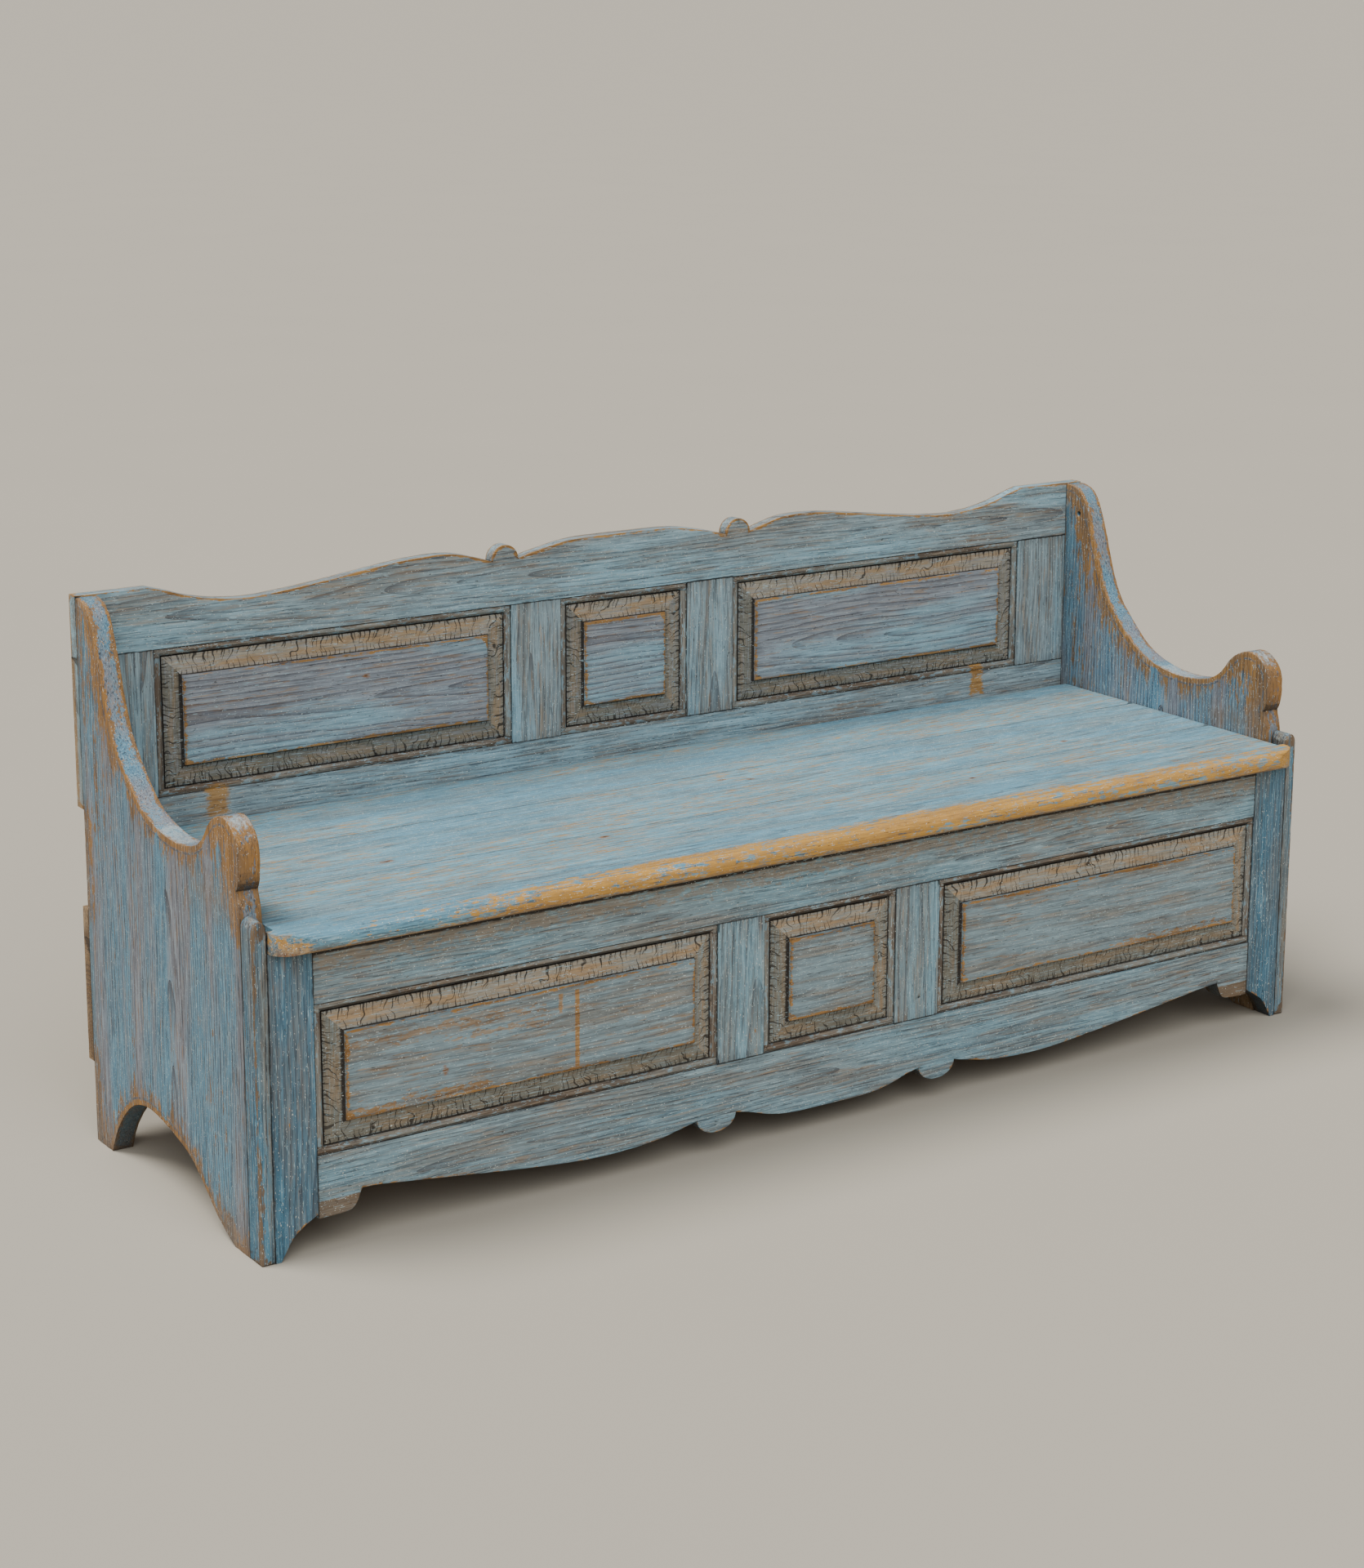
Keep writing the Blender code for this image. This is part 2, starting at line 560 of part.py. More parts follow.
def make_nails(end_boards, frame, lower):
    """Nails through the back and the lower boards into the end boards' rear edges."""
    crest, seat_rail, stiles = frame
    for side, label, end_board, stile in ((-1, "left", end_boards[0], stiles[0]),
                                          (1, "right", end_boards[1], stiles[1])):
        holders = (crest, stile, seat_rail, lower["lower_back_board_top"],
                   lower["lower_back_board_middle"], lower["lower_back_board_bottom"])
        for count, (z, holder) in enumerate(zip(NAILS, holders), 1):
            x = side * NAIL_X
            face = BACK_Y + (BACK_THICK if count <= 3 else LOWER_THICK)
            rod(f"back_nail_{label}_{count}", (x, face - NAIL_LONG, z), (x, face, z),
                NAIL_RADIUS, "y", (IRON, 0.6, 0.9))
            hole = rod(f"nail_hole_{label}_{count}", (x, face - NAIL_LONG - GAP, z), (x, face + 0.003, z),
                       NAIL_RADIUS + GAP, "y")
            change(holder, hole, "DIFFERENCE")
            change(end_board, hole, "DIFFERENCE")


end_boards = make_ends()
make_front()
back_frame = make_back()
make_hinge(make_lid(), end_boards)
make_nails(end_boards, back_frame, make_box())
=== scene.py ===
import math
import random

import bmesh
import bpy
import numpy as np
from mathutils import Matrix, Vector, noise
from mathutils.bvhtree import BVHTree


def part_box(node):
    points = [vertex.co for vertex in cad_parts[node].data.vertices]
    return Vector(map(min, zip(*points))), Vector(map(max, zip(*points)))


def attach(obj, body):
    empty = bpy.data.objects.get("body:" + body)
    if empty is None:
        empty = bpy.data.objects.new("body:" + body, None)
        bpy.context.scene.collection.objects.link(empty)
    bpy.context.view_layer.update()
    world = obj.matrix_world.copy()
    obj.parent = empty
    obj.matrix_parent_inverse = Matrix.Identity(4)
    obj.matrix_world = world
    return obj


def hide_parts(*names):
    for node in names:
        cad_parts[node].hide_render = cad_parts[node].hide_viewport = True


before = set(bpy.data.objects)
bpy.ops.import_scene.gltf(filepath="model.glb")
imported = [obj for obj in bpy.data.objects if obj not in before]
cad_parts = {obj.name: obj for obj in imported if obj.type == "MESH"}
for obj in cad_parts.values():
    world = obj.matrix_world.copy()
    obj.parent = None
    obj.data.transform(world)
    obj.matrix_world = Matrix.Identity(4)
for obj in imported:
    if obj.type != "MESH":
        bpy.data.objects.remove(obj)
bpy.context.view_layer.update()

print("frame loaded:", len(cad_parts), "nodes")

# places taken from the frame
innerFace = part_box("end_board_right")[0].x
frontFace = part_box("front_top_rail")[0].y
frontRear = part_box("front_top_rail")[1].y
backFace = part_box("back_crest_rail")[0].y
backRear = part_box("back_crest_rail")[1].y
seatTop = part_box("lid_board_middle")[1].z
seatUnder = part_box("lid_board_middle")[0].z
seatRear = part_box("lid_board_rear")[1].y
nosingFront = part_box("lid_board_front")[0].y
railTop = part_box("front_top_rail")[1].z
mouldingWide = 0.012       # cut on the edges of every opening
tongueReach = 0.007        # how far a panel reaches past its sight line
bevelWide = 0.030          # the sloping margin of every panel
mouldingDeep = 0.0125      # how far behind the face the moulding still counts


def openingOf(panelNode):
    # left, right, low and high of the opening round a panel, at the moulding's outer line
    low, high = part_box(panelNode)
    reach = mouldingWide - tongueReach
    return low.x - reach, high.x + reach, low.z - reach, high.z + reach


hands = ("left", "right")
sideNames = ("left", "centre", "right")
frontOpenings = [openingOf(f"front_panel_{side}") for side in sideNames]
backOpenings = [openingOf(f"back_panel_{side}") for side in sideNames]


# shader helpers
def addNode(tree, kind, settings=None, **sockets):
    node = tree.nodes.new(kind)
    for key, value in (settings or {}).items():
        setattr(node, key, value)
    for key, value in sockets.items():
        socket = node.inputs[int(key[1:])] if key[0] == "i" and key[1:].isdigit() else node.inputs[key]
        if isinstance(value, bpy.types.NodeSocket):
            tree.links.new(value, socket)
        else:
            socket.default_value = value
    return node


def calc(tree, operation, a, b=0.0, c=None, clamp=False):
    node = addNode(tree, "ShaderNodeMath", {"operation": operation, "use_clamp": clamp}, i0=a, i1=b)
    if isinstance(c, bpy.types.NodeSocket):
        tree.links.new(c, node.inputs[2])
    elif c is not None:
        node.inputs[2].default_value = c
    return node.outputs[0]


def times(tree, *values):
    total = values[0]
    for value in values[1:]:
        total = calc(tree, "MULTIPLY", total, value)
    return total


def opposite(tree, value):
    return calc(tree, "SUBTRACT", 1.0, value)


def nudged(tree, total, noiseValue, amount):
    # a value moved up and down by a noise, which leaves it alone at the noise's middle
    return calc(tree, "MULTIPLY_ADD", calc(tree, "SUBTRACT", noiseValue, 0.5), amount, total)


def band(tree, value, low, high):
    # eases from 0 at low to 1 at high; low may be the larger one
    node = addNode(tree, "ShaderNodeMapRange", {"interpolation_type": "SMOOTHSTEP", "clamp": True},
                   i0=value, i1=low, i2=high)
    return node.outputs["Result"]


def blend(tree, share, first, second):
    node = addNode(tree, "ShaderNodeMix", {"data_type": "RGBA", "clamp_factor": True})
    for socket, value in ((node.inputs[0], share), (node.inputs[6], first), (node.inputs[7], second)):
        if isinstance(value, bpy.types.NodeSocket):
            tree.links.new(value, socket)
        elif isinstance(value, (tuple, list)):
            socket.default_value = (*value, 1.0)
        else:
            socket.default_value = value
    return node.outputs[2]


def readValue(tree, name):
    return addNode(tree, "ShaderNodeAttribute", {"attribute_name": name}).outputs["Fac"]


def readPlace(tree, name):
    return addNode(tree, "ShaderNodeAttribute", {"attribute_name": name}).outputs["Vector"]


def objectPlace(tree):
    return addNode(tree, "ShaderNodeTexCoord").outputs["Object"]


def vectorMath(tree, operation, a, b=(0.0, 0.0, 0.0)):
    return addNode(tree, "ShaderNodeVectorMath", {"operation": operation}, i0=a, i1=b).outputs[0]


def split(tree, vector):
    return addNode(tree, "ShaderNodeSeparateXYZ", Vector=vector).outputs


def grainNoise(tree, place, stretch, detail=2.0, roughness=0.5):
    # noise stretched along the grain; stretch is per metre along, across and through
    node = addNode(tree, "ShaderNodeTexNoise", {"noise_dimensions": "3D"}, Scale=1.0, Detail=detail,
                   Vector=vectorMath(tree, "MULTIPLY", place, stretch), Roughness=roughness)
    return node.outputs[0]


def patchMask(tree, centre, half, soft, ragged, mottle):
    # 1 inside a box of the frame's own coordinates, fading over soft, with a ragged edge
    away = vectorMath(tree, "SUBTRACT", objectPlace(tree), centre)
    away = vectorMath(tree, "SUBTRACT", vectorMath(tree, "ABSOLUTE", away), half)
    along, across, high = split(tree, away)
    far = calc(tree, "MAXIMUM", calc(tree, "MAXIMUM", along, across), high)
    return band(tree, nudged(tree, far, mottle, ragged), soft, -soft)


# finishes
colours = {
    "blue": (0.238, 0.365, 0.430),
    "deepBlue": (0.092, 0.196, 0.275),
    "slateBlue": (0.118, 0.210, 0.280),
    "endBlue": (0.145, 0.262, 0.345),
    "clearBlue": (0.205, 0.385, 0.505),
    "greyViolet": (0.225, 0.235, 0.262),
    "greyBrown": (0.215, 0.200, 0.170),
    "olive": (0.130, 0.130, 0.108),
    "pale": (0.400, 0.530, 0.570),
    "greyBlue": (0.243, 0.315, 0.345),
    "white": (0.660, 0.690, 0.650),
    "seatBlue": (0.188, 0.340, 0.425),
    "seatPale": (0.240, 0.400, 0.470),
    "seatGrey": (0.250, 0.300, 0.300),
    "ochre": (0.440, 0.255, 0.105),
    "ochreBright": (0.560, 0.320, 0.100),
    "ochreDeep": (0.190, 0.105, 0.050),
    "rust": (0.270, 0.130, 0.055),
    "amber": (0.360, 0.200, 0.080),
    # painted light in part: the backrest's blue, violet and grey are lighter copies, for the light the
    # back catches off the seat
    "restBlue": (0.308, 0.450, 0.515),
    "restViolet": (0.290, 0.305, 0.330),
    "restGrey": (0.285, 0.345, 0.365),
    "umber": (0.190, 0.130, 0.080),
    "tan": (0.310, 0.250, 0.185),
    "paleTan": (0.440, 0.385, 0.305),
    "brown": (0.115, 0.080, 0.055),
    "pine": (0.360, 0.260, 0.165),
    "pineDark": (0.180, 0.115, 0.065),
    # dark dirt, also used as painted shade: beside joints, under the nosing and on faces turned to the
    # floor
    "dirtAndShade": (0.030, 0.026, 0.023),
    "slate": (0.060, 0.070, 0.085),
    "lateWood": (0.052, 0.044, 0.052),
    "iron": (0.045, 0.042, 0.040),
    "ironRust": (0.140, 0.062, 0.028),
    "ironBright": (0.240, 0.120, 0.060),
}

# what a look may change; every painted member's own look lies beside it
paintDefaults = {
    "paint": "blue", "second": "deepBlue", "glaze": "greyBrown", "thin": "tan", "strokes": "pale",
    "dark": "slate", "late": "lateWood",
    "glazeShow": 0.60, "thinShow": 0.50, "strokeShow": 0.50, "darkShow": 0.62, "ringShow": 0.62,
    "wood": "ochre", "woodDark": "ochreDeep", "rawWood": "pine", "rawDark": "pineDark",
    "ringSpacing": 0.0070, "pith": 0.030, "tilt": 0.022, "ringWarp": 0.040,
    "patchSize": (1.8, 8.0, 8.0), "fleckGrain": (18.0, 190.0, 190.0), "fleckEdge": 0.59,
    "fleckShow": 0.30, "speckShow": 0.9,
    "wearAmount": 0.60, "wearReach": 0.006, "wearBroad": 0.0, "wearStreak": 1.2, "wearFine": 0.9,
    # painted shade: the last two amounts on the next line darken a soft band beside the joints and the
    # faces turned to the floor
    "seamWide": 0.0022, "seamShow": 0.85, "jointShade": 0.20, "paintedUnderShade": 0.0,
    "roughness": 0.60, "bump": 0.8,
    "bead": False, "bevel": False, "dashes": False, "marks": (), "knots": (),
}

# noises along the grain: stretch per metre, detail and roughness
grains = {
    "streaks": ((4.5, 50.0, 50.0), 4.0, 0.62),
    "fibres": ((16.0, 520.0, 520.0), 4.0, 0.62),
    "threads": ((20.0, 380.0, 420.0), 3.0, 0.60),
    "hairs": ((45.0, 1600.0, 1600.0), 2.0),
    "mottle": ((60.0, 160.0, 160.0), 3.0, 0.65),
    "wander": ((2.6, 10.0, 10.0), 3.0, 0.45),
    "specks": ((330.0, 620.0, 620.0), 1.0),
    "paleDashes": ((60.0, 620.0, 620.0), 1.0),
    "pits": ((110.0, 480.0, 480.0), 1.0),
}

# where each layer starts to show and where it is full, in its noise or in metres
limits = {
    "patches": (0.42, 0.58), "glaze": (0.45, 0.60), "threads": (0.50, 0.60),
    "threadStreaks": (0.36, 0.56),
    "strokes": (0.53, 0.62), "strokeStreaks": (0.56, 0.40), "darkFibres": (0.46, 0.34),
    "lateStreaks": (0.34, 0.52), "woodStreaks": (0.38, 0.70), "woodFibres": (0.48, 0.34),
    "broadWear": (0.058, 0.0), "bare": (0.42, 0.58), "fleckPatches": (0.44, 0.56), "raw": (0.35, 0.65),
    "thickness": (0.80, 0.60), "dashGaps": (0.46, 0.54), "dash": (0.0024, 0.0008),
    "gathered": (0.62, 0.44), "specks": (0.715, 0.745), "paleDashes": (0.69, 0.73), "pits": (0.70, 0.75),
    "jointShade": (0.018, 0.0), "beneath": (-0.05, -0.40),
}

# how strongly the parts of the finish count
amounts = {
    "ringSharp": 3.2, "sway": 2.6, "streakShade": 0.5, "lateShade": 0.6, "fibreShade": 0.4,
    "thicknessWear": -0.12, "mottleWear": 1.4, "bareShow": 0.92, "fleckSoft": 0.05,
    "dashPlace": 0.0105, "dashShow": 0.8, "speckGather": 0.025, "paleGather": 0.03, "paleShow": 0.8,
    "pitShow": 0.7, "grimeRagged": 0.004,
    "gritBase": 0.60, "gritFibres": 0.8, "gritThreads": 0.7, "gritMottle": 0.5, "saturation": 1.15,
    "glossFibres": 0.30, "glossBare": 0.08, "specular": 0.18,
    "riseFibres": 0.6, "riseHairs": 0.2, "riseLate": 0.30, "riseBare": -0.35, "riseMottle": 0.25,
    "riseDepth": 0.0010,
}


def readMaps(tree, values):
    # the noises and stored distances that every layer is made from
    spot = readPlace(tree, "grainSpot")
    maps = {name: grainNoise(tree, spot, *grain) for name, grain in grains.items()}
    maps["patches"] = grainNoise(tree, spot, values["patchSize"], 2.0)
    maps["flecks"] = grainNoise(tree, spot, values["fleckGrain"], 3.0, 0.6)
    for name in ("arris", "seam", "rub", "raw"):
        maps[name] = readValue(tree, name)
    maps["place"] = split(tree, spot)
    if values["dashes"] or values["paintedUnderShade"]:
        normal = addNode(tree, "ShaderNodeNewGeometry").outputs["True Normal"]
        maps["facing"] = split(tree, normal)
    if values["dashes"]:
        sideways = calc(tree, "ABSOLUTE", maps["facing"][0])
        maps["onEdge"] = band(tree, sideways, *limits["thickness"])
        maps["offEdge"] = opposite(tree, maps["onEdge"])
    return maps


def ringLines(tree, values, maps):
    # growth rings round a pith behind the board, so a flat face shows long cathedral loops
    along, sideways, deep = maps["place"]
    across = nudged(tree, sideways, maps["wander"], values["ringWarp"])
    sway = calc(tree, "SINE", calc(tree, "MULTIPLY", along, amounts["sway"]))
    through = calc(tree, "MULTIPLY_ADD", sway, values["tilt"], deep)
    through = calc(tree, "ADD", through, values["pith"])
    squared = calc(tree, "MULTIPLY_ADD", through, through, times(tree, across, across))
    rings = calc(tree, "DIVIDE", calc(tree, "SQRT", squared), values["ringSpacing"])
    late = calc(tree, "POWER", calc(tree, "FRACT", rings), amounts["ringSharp"])
    late = times(tree, late, band(tree, maps["streaks"], *limits["lateStreaks"]))
    return times(tree, late, maps["offEdge"]) if values["dashes"] else late


def paintLayers(tree, values, maps, late):
    # the coat: two blues in patches, glaze, thin places, dry strokes, dark fibres and growth lines
    streaks, fibres, threads = maps["streaks"], maps["fibres"], maps["threads"]
    thin = times(tree, band(tree, threads, *limits["threads"]),
                 band(tree, streaks, *limits["threadStreaks"]), values["thinShow"])
    strokes = times(tree, band(tree, fibres, *limits["strokes"]),
                    band(tree, streaks, *limits["strokeStreaks"]), values["strokeShow"])
    shares = {
        "second": band(tree, maps["patches"], *limits["patches"]),
        "glaze": times(tree, band(tree, streaks, *limits["glaze"]), values["glazeShow"]),
        "thin": thin,
        "strokes": strokes,
        "dark": times(tree, band(tree, fibres, *limits["darkFibres"]), values["darkShow"]),
        "late": times(tree, late, values["ringShow"]),
    }
    paint = colours[values["paint"]]
    for layer, share in shares.items():
        paint = blend(tree, share, paint, colours[values[layer]])
    return paint


def woodLayers(tree, values, maps, late):
    # the wood that shows where the paint is rubbed off, and the wood that was never painted
    shade = calc(tree, "MULTIPLY_ADD", band(tree, maps["streaks"], *limits["woodStreaks"]),
                 amounts["streakShade"], times(tree, late, amounts["lateShade"]), clamp=True)
    shade = calc(tree, "MULTIPLY_ADD", band(tree, maps["fibres"], *limits["woodFibres"]),
                 amounts["fibreShade"], shade, clamp=True)
    return [blend(tree, shade, colours[values[light]], colours[values[dark]])
            for light, dark in (("wood", "woodDark"), ("rawWood", "rawDark"))]


def bareMask(tree, values, maps):
    # 1 where the paint is gone: along the arrises, where hands and feet rub, and in flecks
    worn = calc(tree, "MULTIPLY_ADD", band(tree, maps["arris"], values["wearReach"], 0.0),
                values["wearAmount"], maps["rub"])
    broad = times(tree, band(tree, maps["arris"], *limits["broadWear"]), values["wearBroad"])
    if values["dashes"]:
        broad = times(tree, broad, maps["offEdge"])
        worn = calc(tree, "MULTIPLY_ADD", maps["onEdge"], amounts["thicknessWear"], worn)
    worn = calc(tree, "ADD", broad, worn)
    worn = nudged(tree, worn, maps["streaks"], values["wearStreak"])
    worn = nudged(tree, worn, maps["fibres"], values["wearFine"])
    worn = nudged(tree, worn, maps["mottle"], amounts["mottleWear"])
    bare = times(tree, band(tree, worn, *limits["bare"]), amounts["bareShow"])
    low = values["fleckEdge"]
    flecks = times(tree, band(tree, maps["flecks"], low, low + amounts["fleckSoft"]),
                   band(tree, maps["patches"], *limits["fleckPatches"]), values["fleckShow"])
    return calc(tree, "MAXIMUM", bare, flecks)


def dashedLine(tree, maps, paint, bare):
    # a broken dark brush line just inside the arris of an end board's faces
    near = calc(tree, "ABSOLUTE", calc(tree, "SUBTRACT", maps["arris"], amounts["dashPlace"]))
    broken = times(tree, band(tree, maps["mottle"], *limits["dashGaps"]), maps["offEdge"])
    dash = times(tree, band(tree, near, *limits["dash"]), broken, amounts["dashShow"])
    return blend(tree, dash, paint, colours["slate"]), times(tree, bare, opposite(tree, dash))


def addMarks(tree, values, maps, paint, bare):
    # single patches, each at its own place: bare wood, or paint, dirt, painted shadow and painted
    # highlight of another colour
    for mark in values["marks"]:
        mask = patchMask(tree, mark["centre"], mark["half"], mark.get("soft", 0.0012),
                         mark.get("ragged", 0.010), maps["mottle"])
        mask = times(tree, mask, mark["share"])
        if mark.get("onEdge"):
            mask = times(tree, mask, maps["onEdge"])
        if mark["colour"] == "wood":
            bare = calc(tree, "MAXIMUM", bare, mask)
        else:
            paint = blend(tree, mask, paint, colours[mark["colour"]])
            bare = times(tree, bare, opposite(tree, mask))
    return paint, bare


def specksDirtAndShade(tree, values, maps, colour):
    # white specks, pale dashes, dark pits, grime in the joints, painted shade in a soft band beside the
    # joints and painted shade on faces turned to the floor
    gathered = band(tree, maps["patches"], *limits["gathered"])
    white = calc(tree, "MULTIPLY_ADD", gathered, amounts["speckGather"], maps["specks"])
    white = times(tree, band(tree, white, *limits["specks"]), values["speckShow"])
    colour = blend(tree, white, colour, colours["white"])
    pale = calc(tree, "MULTIPLY_ADD", gathered, amounts["paleGather"], maps["paleDashes"])
    pale = times(tree, band(tree, pale, *limits["paleDashes"]), values["speckShow"], amounts["paleShow"])
    colour = blend(tree, pale, colour, colours["pale"])
    pits = times(tree, band(tree, maps["pits"], *limits["pits"]), amounts["pitShow"])
    colour = blend(tree, pits, colour, colours["dirtAndShade"])
    joint = nudged(tree, maps["seam"], maps["mottle"], amounts["grimeRagged"])
    grime = times(tree, band(tree, joint, values["seamWide"], 0.0), values["seamShow"])
    # painted shade: a soft dark band up to 18 mm from each joint, where parts meet
    jointShade = times(tree, band(tree, maps["seam"], *limits["jointShade"]), values["jointShade"])
    colour = blend(tree, calc(tree, "MAXIMUM", grime, jointShade), colour, colours["dirtAndShade"])
    # painted shade: faces turned to the floor are darkened
    if values["paintedUnderShade"]:
        beneath = times(tree, band(tree, maps["facing"][2], *limits["beneath"]), values["paintedUnderShade"])
        colour = blend(tree, beneath, colour, colours["dirtAndShade"])
    return colour


def gritty(tree, maps, colour):
    # the fine light and dark of the fibres over everything
    grit = calc(tree, "MULTIPLY_ADD", maps["fibres"], amounts["gritFibres"], amounts["gritBase"])
    grit = nudged(tree, grit, maps["threads"], amounts["gritThreads"])
    grit = nudged(tree, grit, maps["mottle"], amounts["gritMottle"])
    scaled = addNode(tree, "ShaderNodeVectorMath", {"operation": "SCALE"}, Vector=colour, Scale=grit)
    return addNode(tree, "ShaderNodeHueSaturation", Color=scaled.outputs[0],
                   Saturation=amounts["saturation"]).outputs[0]


def pineSurface(tree, shader, values, maps, late, bare):
    # gloss and relief: raised fibres and growth lines, with the rubbed wood a little lower
    gloss = calc(tree, "MULTIPLY_ADD", maps["fibres"], amounts["glossFibres"],
                 values["roughness"] - amounts["glossFibres"] / 2)
    gloss = calc(tree, "MULTIPLY_ADD", bare, amounts["glossBare"], gloss, clamp=True)
    tree.links.new(gloss, shader.inputs["Roughness"])
    shader.inputs["Specular IOR Level"].default_value = amounts["specular"]
    height = calc(tree, "MULTIPLY", maps["fibres"], amounts["riseFibres"])
    for value, rise in ((maps["hairs"], "riseHairs"), (late, "riseLate"), (bare, "riseBare"),
                        (maps["mottle"], "riseMottle")):
        height = calc(tree, "MULTIPLY_ADD", value, amounts[rise], height)
    relief = addNode(tree, "ShaderNodeBump", Height=height, Distance=amounts["riseDepth"],
                     Strength=values["bump"])
    tree.links.new(relief.outputs[0], shader.inputs["Normal"])


def newMaterial(name):
    material = bpy.data.materials.new(name)
    material.use_nodes = True
    return material, material.node_tree, material.node_tree.nodes["Principled BSDF"]


def paintedPine(name, look):
    # worn paint over pine, from the wood up
    values = {**paintDefaults, **look}
    material, tree, shader = newMaterial(name)
    maps = readMaps(tree, values)
    late = ringLines(tree, values, maps)
    paint = paintLayers(tree, values, maps, late)
    wood, rawWood = woodLayers(tree, values, maps, late)
    bare = bareMask(tree, values, maps)
    if values["bead"]:
        paint, bare = beadPaint(tree, paint, bare, maps["streaks"], maps["mottle"], maps["fibres"])
    if values["dashes"]:
        paint, bare = dashedLine(tree, maps, paint, bare)
    paint, bare = addMarks(tree, values, maps, paint, bare)
    colour = blend(tree, bare, paint, wood)
    if values["bevel"]:
        colour = bevelPaint(tree, colour, values)
    colour = blend(tree, band(tree, maps["raw"], *limits["raw"]), colour, rawWood)
    for knot in values["knots"]:
        colour = knotPaint(tree, colour, knot, maps["mottle"])
    colour = gritty(tree, maps, specksDirtAndShade(tree, values, maps, colour))
    tree.links.new(colour, shader.inputs["Base Color"])
    pineSurface(tree, shader, values, maps, late, bare)
    return material


def knotPaint(tree, colour, knot, mottle):
    # a small dry knot: brown rings with a dark heart, longer along the grain
    size = knot["size"]
    away = vectorMath(tree, "SUBTRACT", objectPlace(tree), knot["centre"])
    away = vectorMath(tree, "MULTIPLY", away, knot["squash"])
    length = addNode(tree, "ShaderNodeVectorMath", {"operation": "LENGTH"}, i0=away)
    far = nudged(tree, length.outputs["Value"], mottle, size * 1.6)
    rings = times(tree, band(tree, far, size, size * 0.4), 0.8)
    heart = times(tree, band(tree, far, size * 0.45, 0.0), 0.9)
    colour = blend(tree, rings, colour, colours["rust"])
    return blend(tree, heart, colour, colours["dirtAndShade"])


def beadPaint(tree, paint, bare, streaks, mottle, fibres):
    # the moulding: grey, tan and brown streaks on its round, dark in its quirks
    inside = readValue(tree, "bead")
    zone = band(tree, inside, 0.0000, 0.0008)
    tone = blend(tree, band(tree, streaks, 0.42, 0.56), colours["greyBrown"], colours["brown"])
    tone = blend(tree, times(tree, band(tree, fibres, 0.50, 0.60), 0.6), tone, colours["tan"])
    tone = blend(tree, times(tree, band(tree, mottle, 0.54, 0.62), 0.6), tone, colours["blue"])
    paint = blend(tree, times(tree, zone, 0.85), paint, tone)
    outer = times(tree, band(tree, inside, -0.0006, 0.0002), band(tree, inside, 0.0020, 0.0008))
    quirk = calc(tree, "ADD", outer, band(tree, inside, 0.0102, 0.0116), clamp=True)
    ragged = band(tree, mottle, 0.26, 0.44)
    paint = blend(tree, times(tree, quirk, ragged, 0.95), paint, colours["dirtAndShade"])
    kept = opposite(tree, times(tree, band(tree, inside, -0.004, 0.0), 0.85))
    return paint, times(tree, bare, kept)


# the rows of brush marks on a bevel: spacing, seed, reach over the slope, from the inner border
brushRows = ((0.0085, 0.0, 0.70, False), (0.0078, 7.3, 0.55, True), (0.0150, 3.1, 0.95, False))


def brushRow(tree, along, slope, drift, spacing, seed, reach, fromInner):
    # one row of short dark brush strokes that start at a border of the bevel and curve inwards
    rise = opposite(tree, slope) if fromInner else slope
    lean = times(tree, calc(tree, "SUBTRACT", drift, 0.5), 5.0)
    curl = times(tree, rise, rise, 0.9)
    line = calc(tree, "MULTIPLY_ADD", along, 1.0 / spacing, seed)
    line = calc(tree, "MULTIPLY_ADD", lean, rise, calc(tree, "ADD", line, curl))
    line = calc(tree, "MULTIPLY_ADD", drift, 2.2, line)
    number = calc(tree, "FLOOR", line)
    chance = addNode(tree, "ShaderNodeTexWhiteNoise", {"noise_dimensions": "1D"})
    tree.links.new(number, chance.inputs["W"])
    long = calc(tree, "MULTIPLY_ADD", chance.outputs["Value"], reach, 0.04)
    shift = calc(tree, "MULTIPLY_ADD", chance.outputs["Value"], 0.36, 0.32)
    near = calc(tree, "ABSOLUTE", calc(tree, "SUBTRACT", calc(tree, "FRACT", line), shift))
    thick = opposite(tree, calc(tree, "DIVIDE", rise, long))
    wide = calc(tree, "MULTIPLY_ADD", calc(tree, "MAXIMUM", thick, 0.0), 0.074, 0.050)
    stroke = calc(tree, "DIVIDE", calc(tree, "SUBTRACT", wide, near), 0.045, clamp=True)
    return times(tree, stroke, band(tree, thick, -0.02, 0.12))


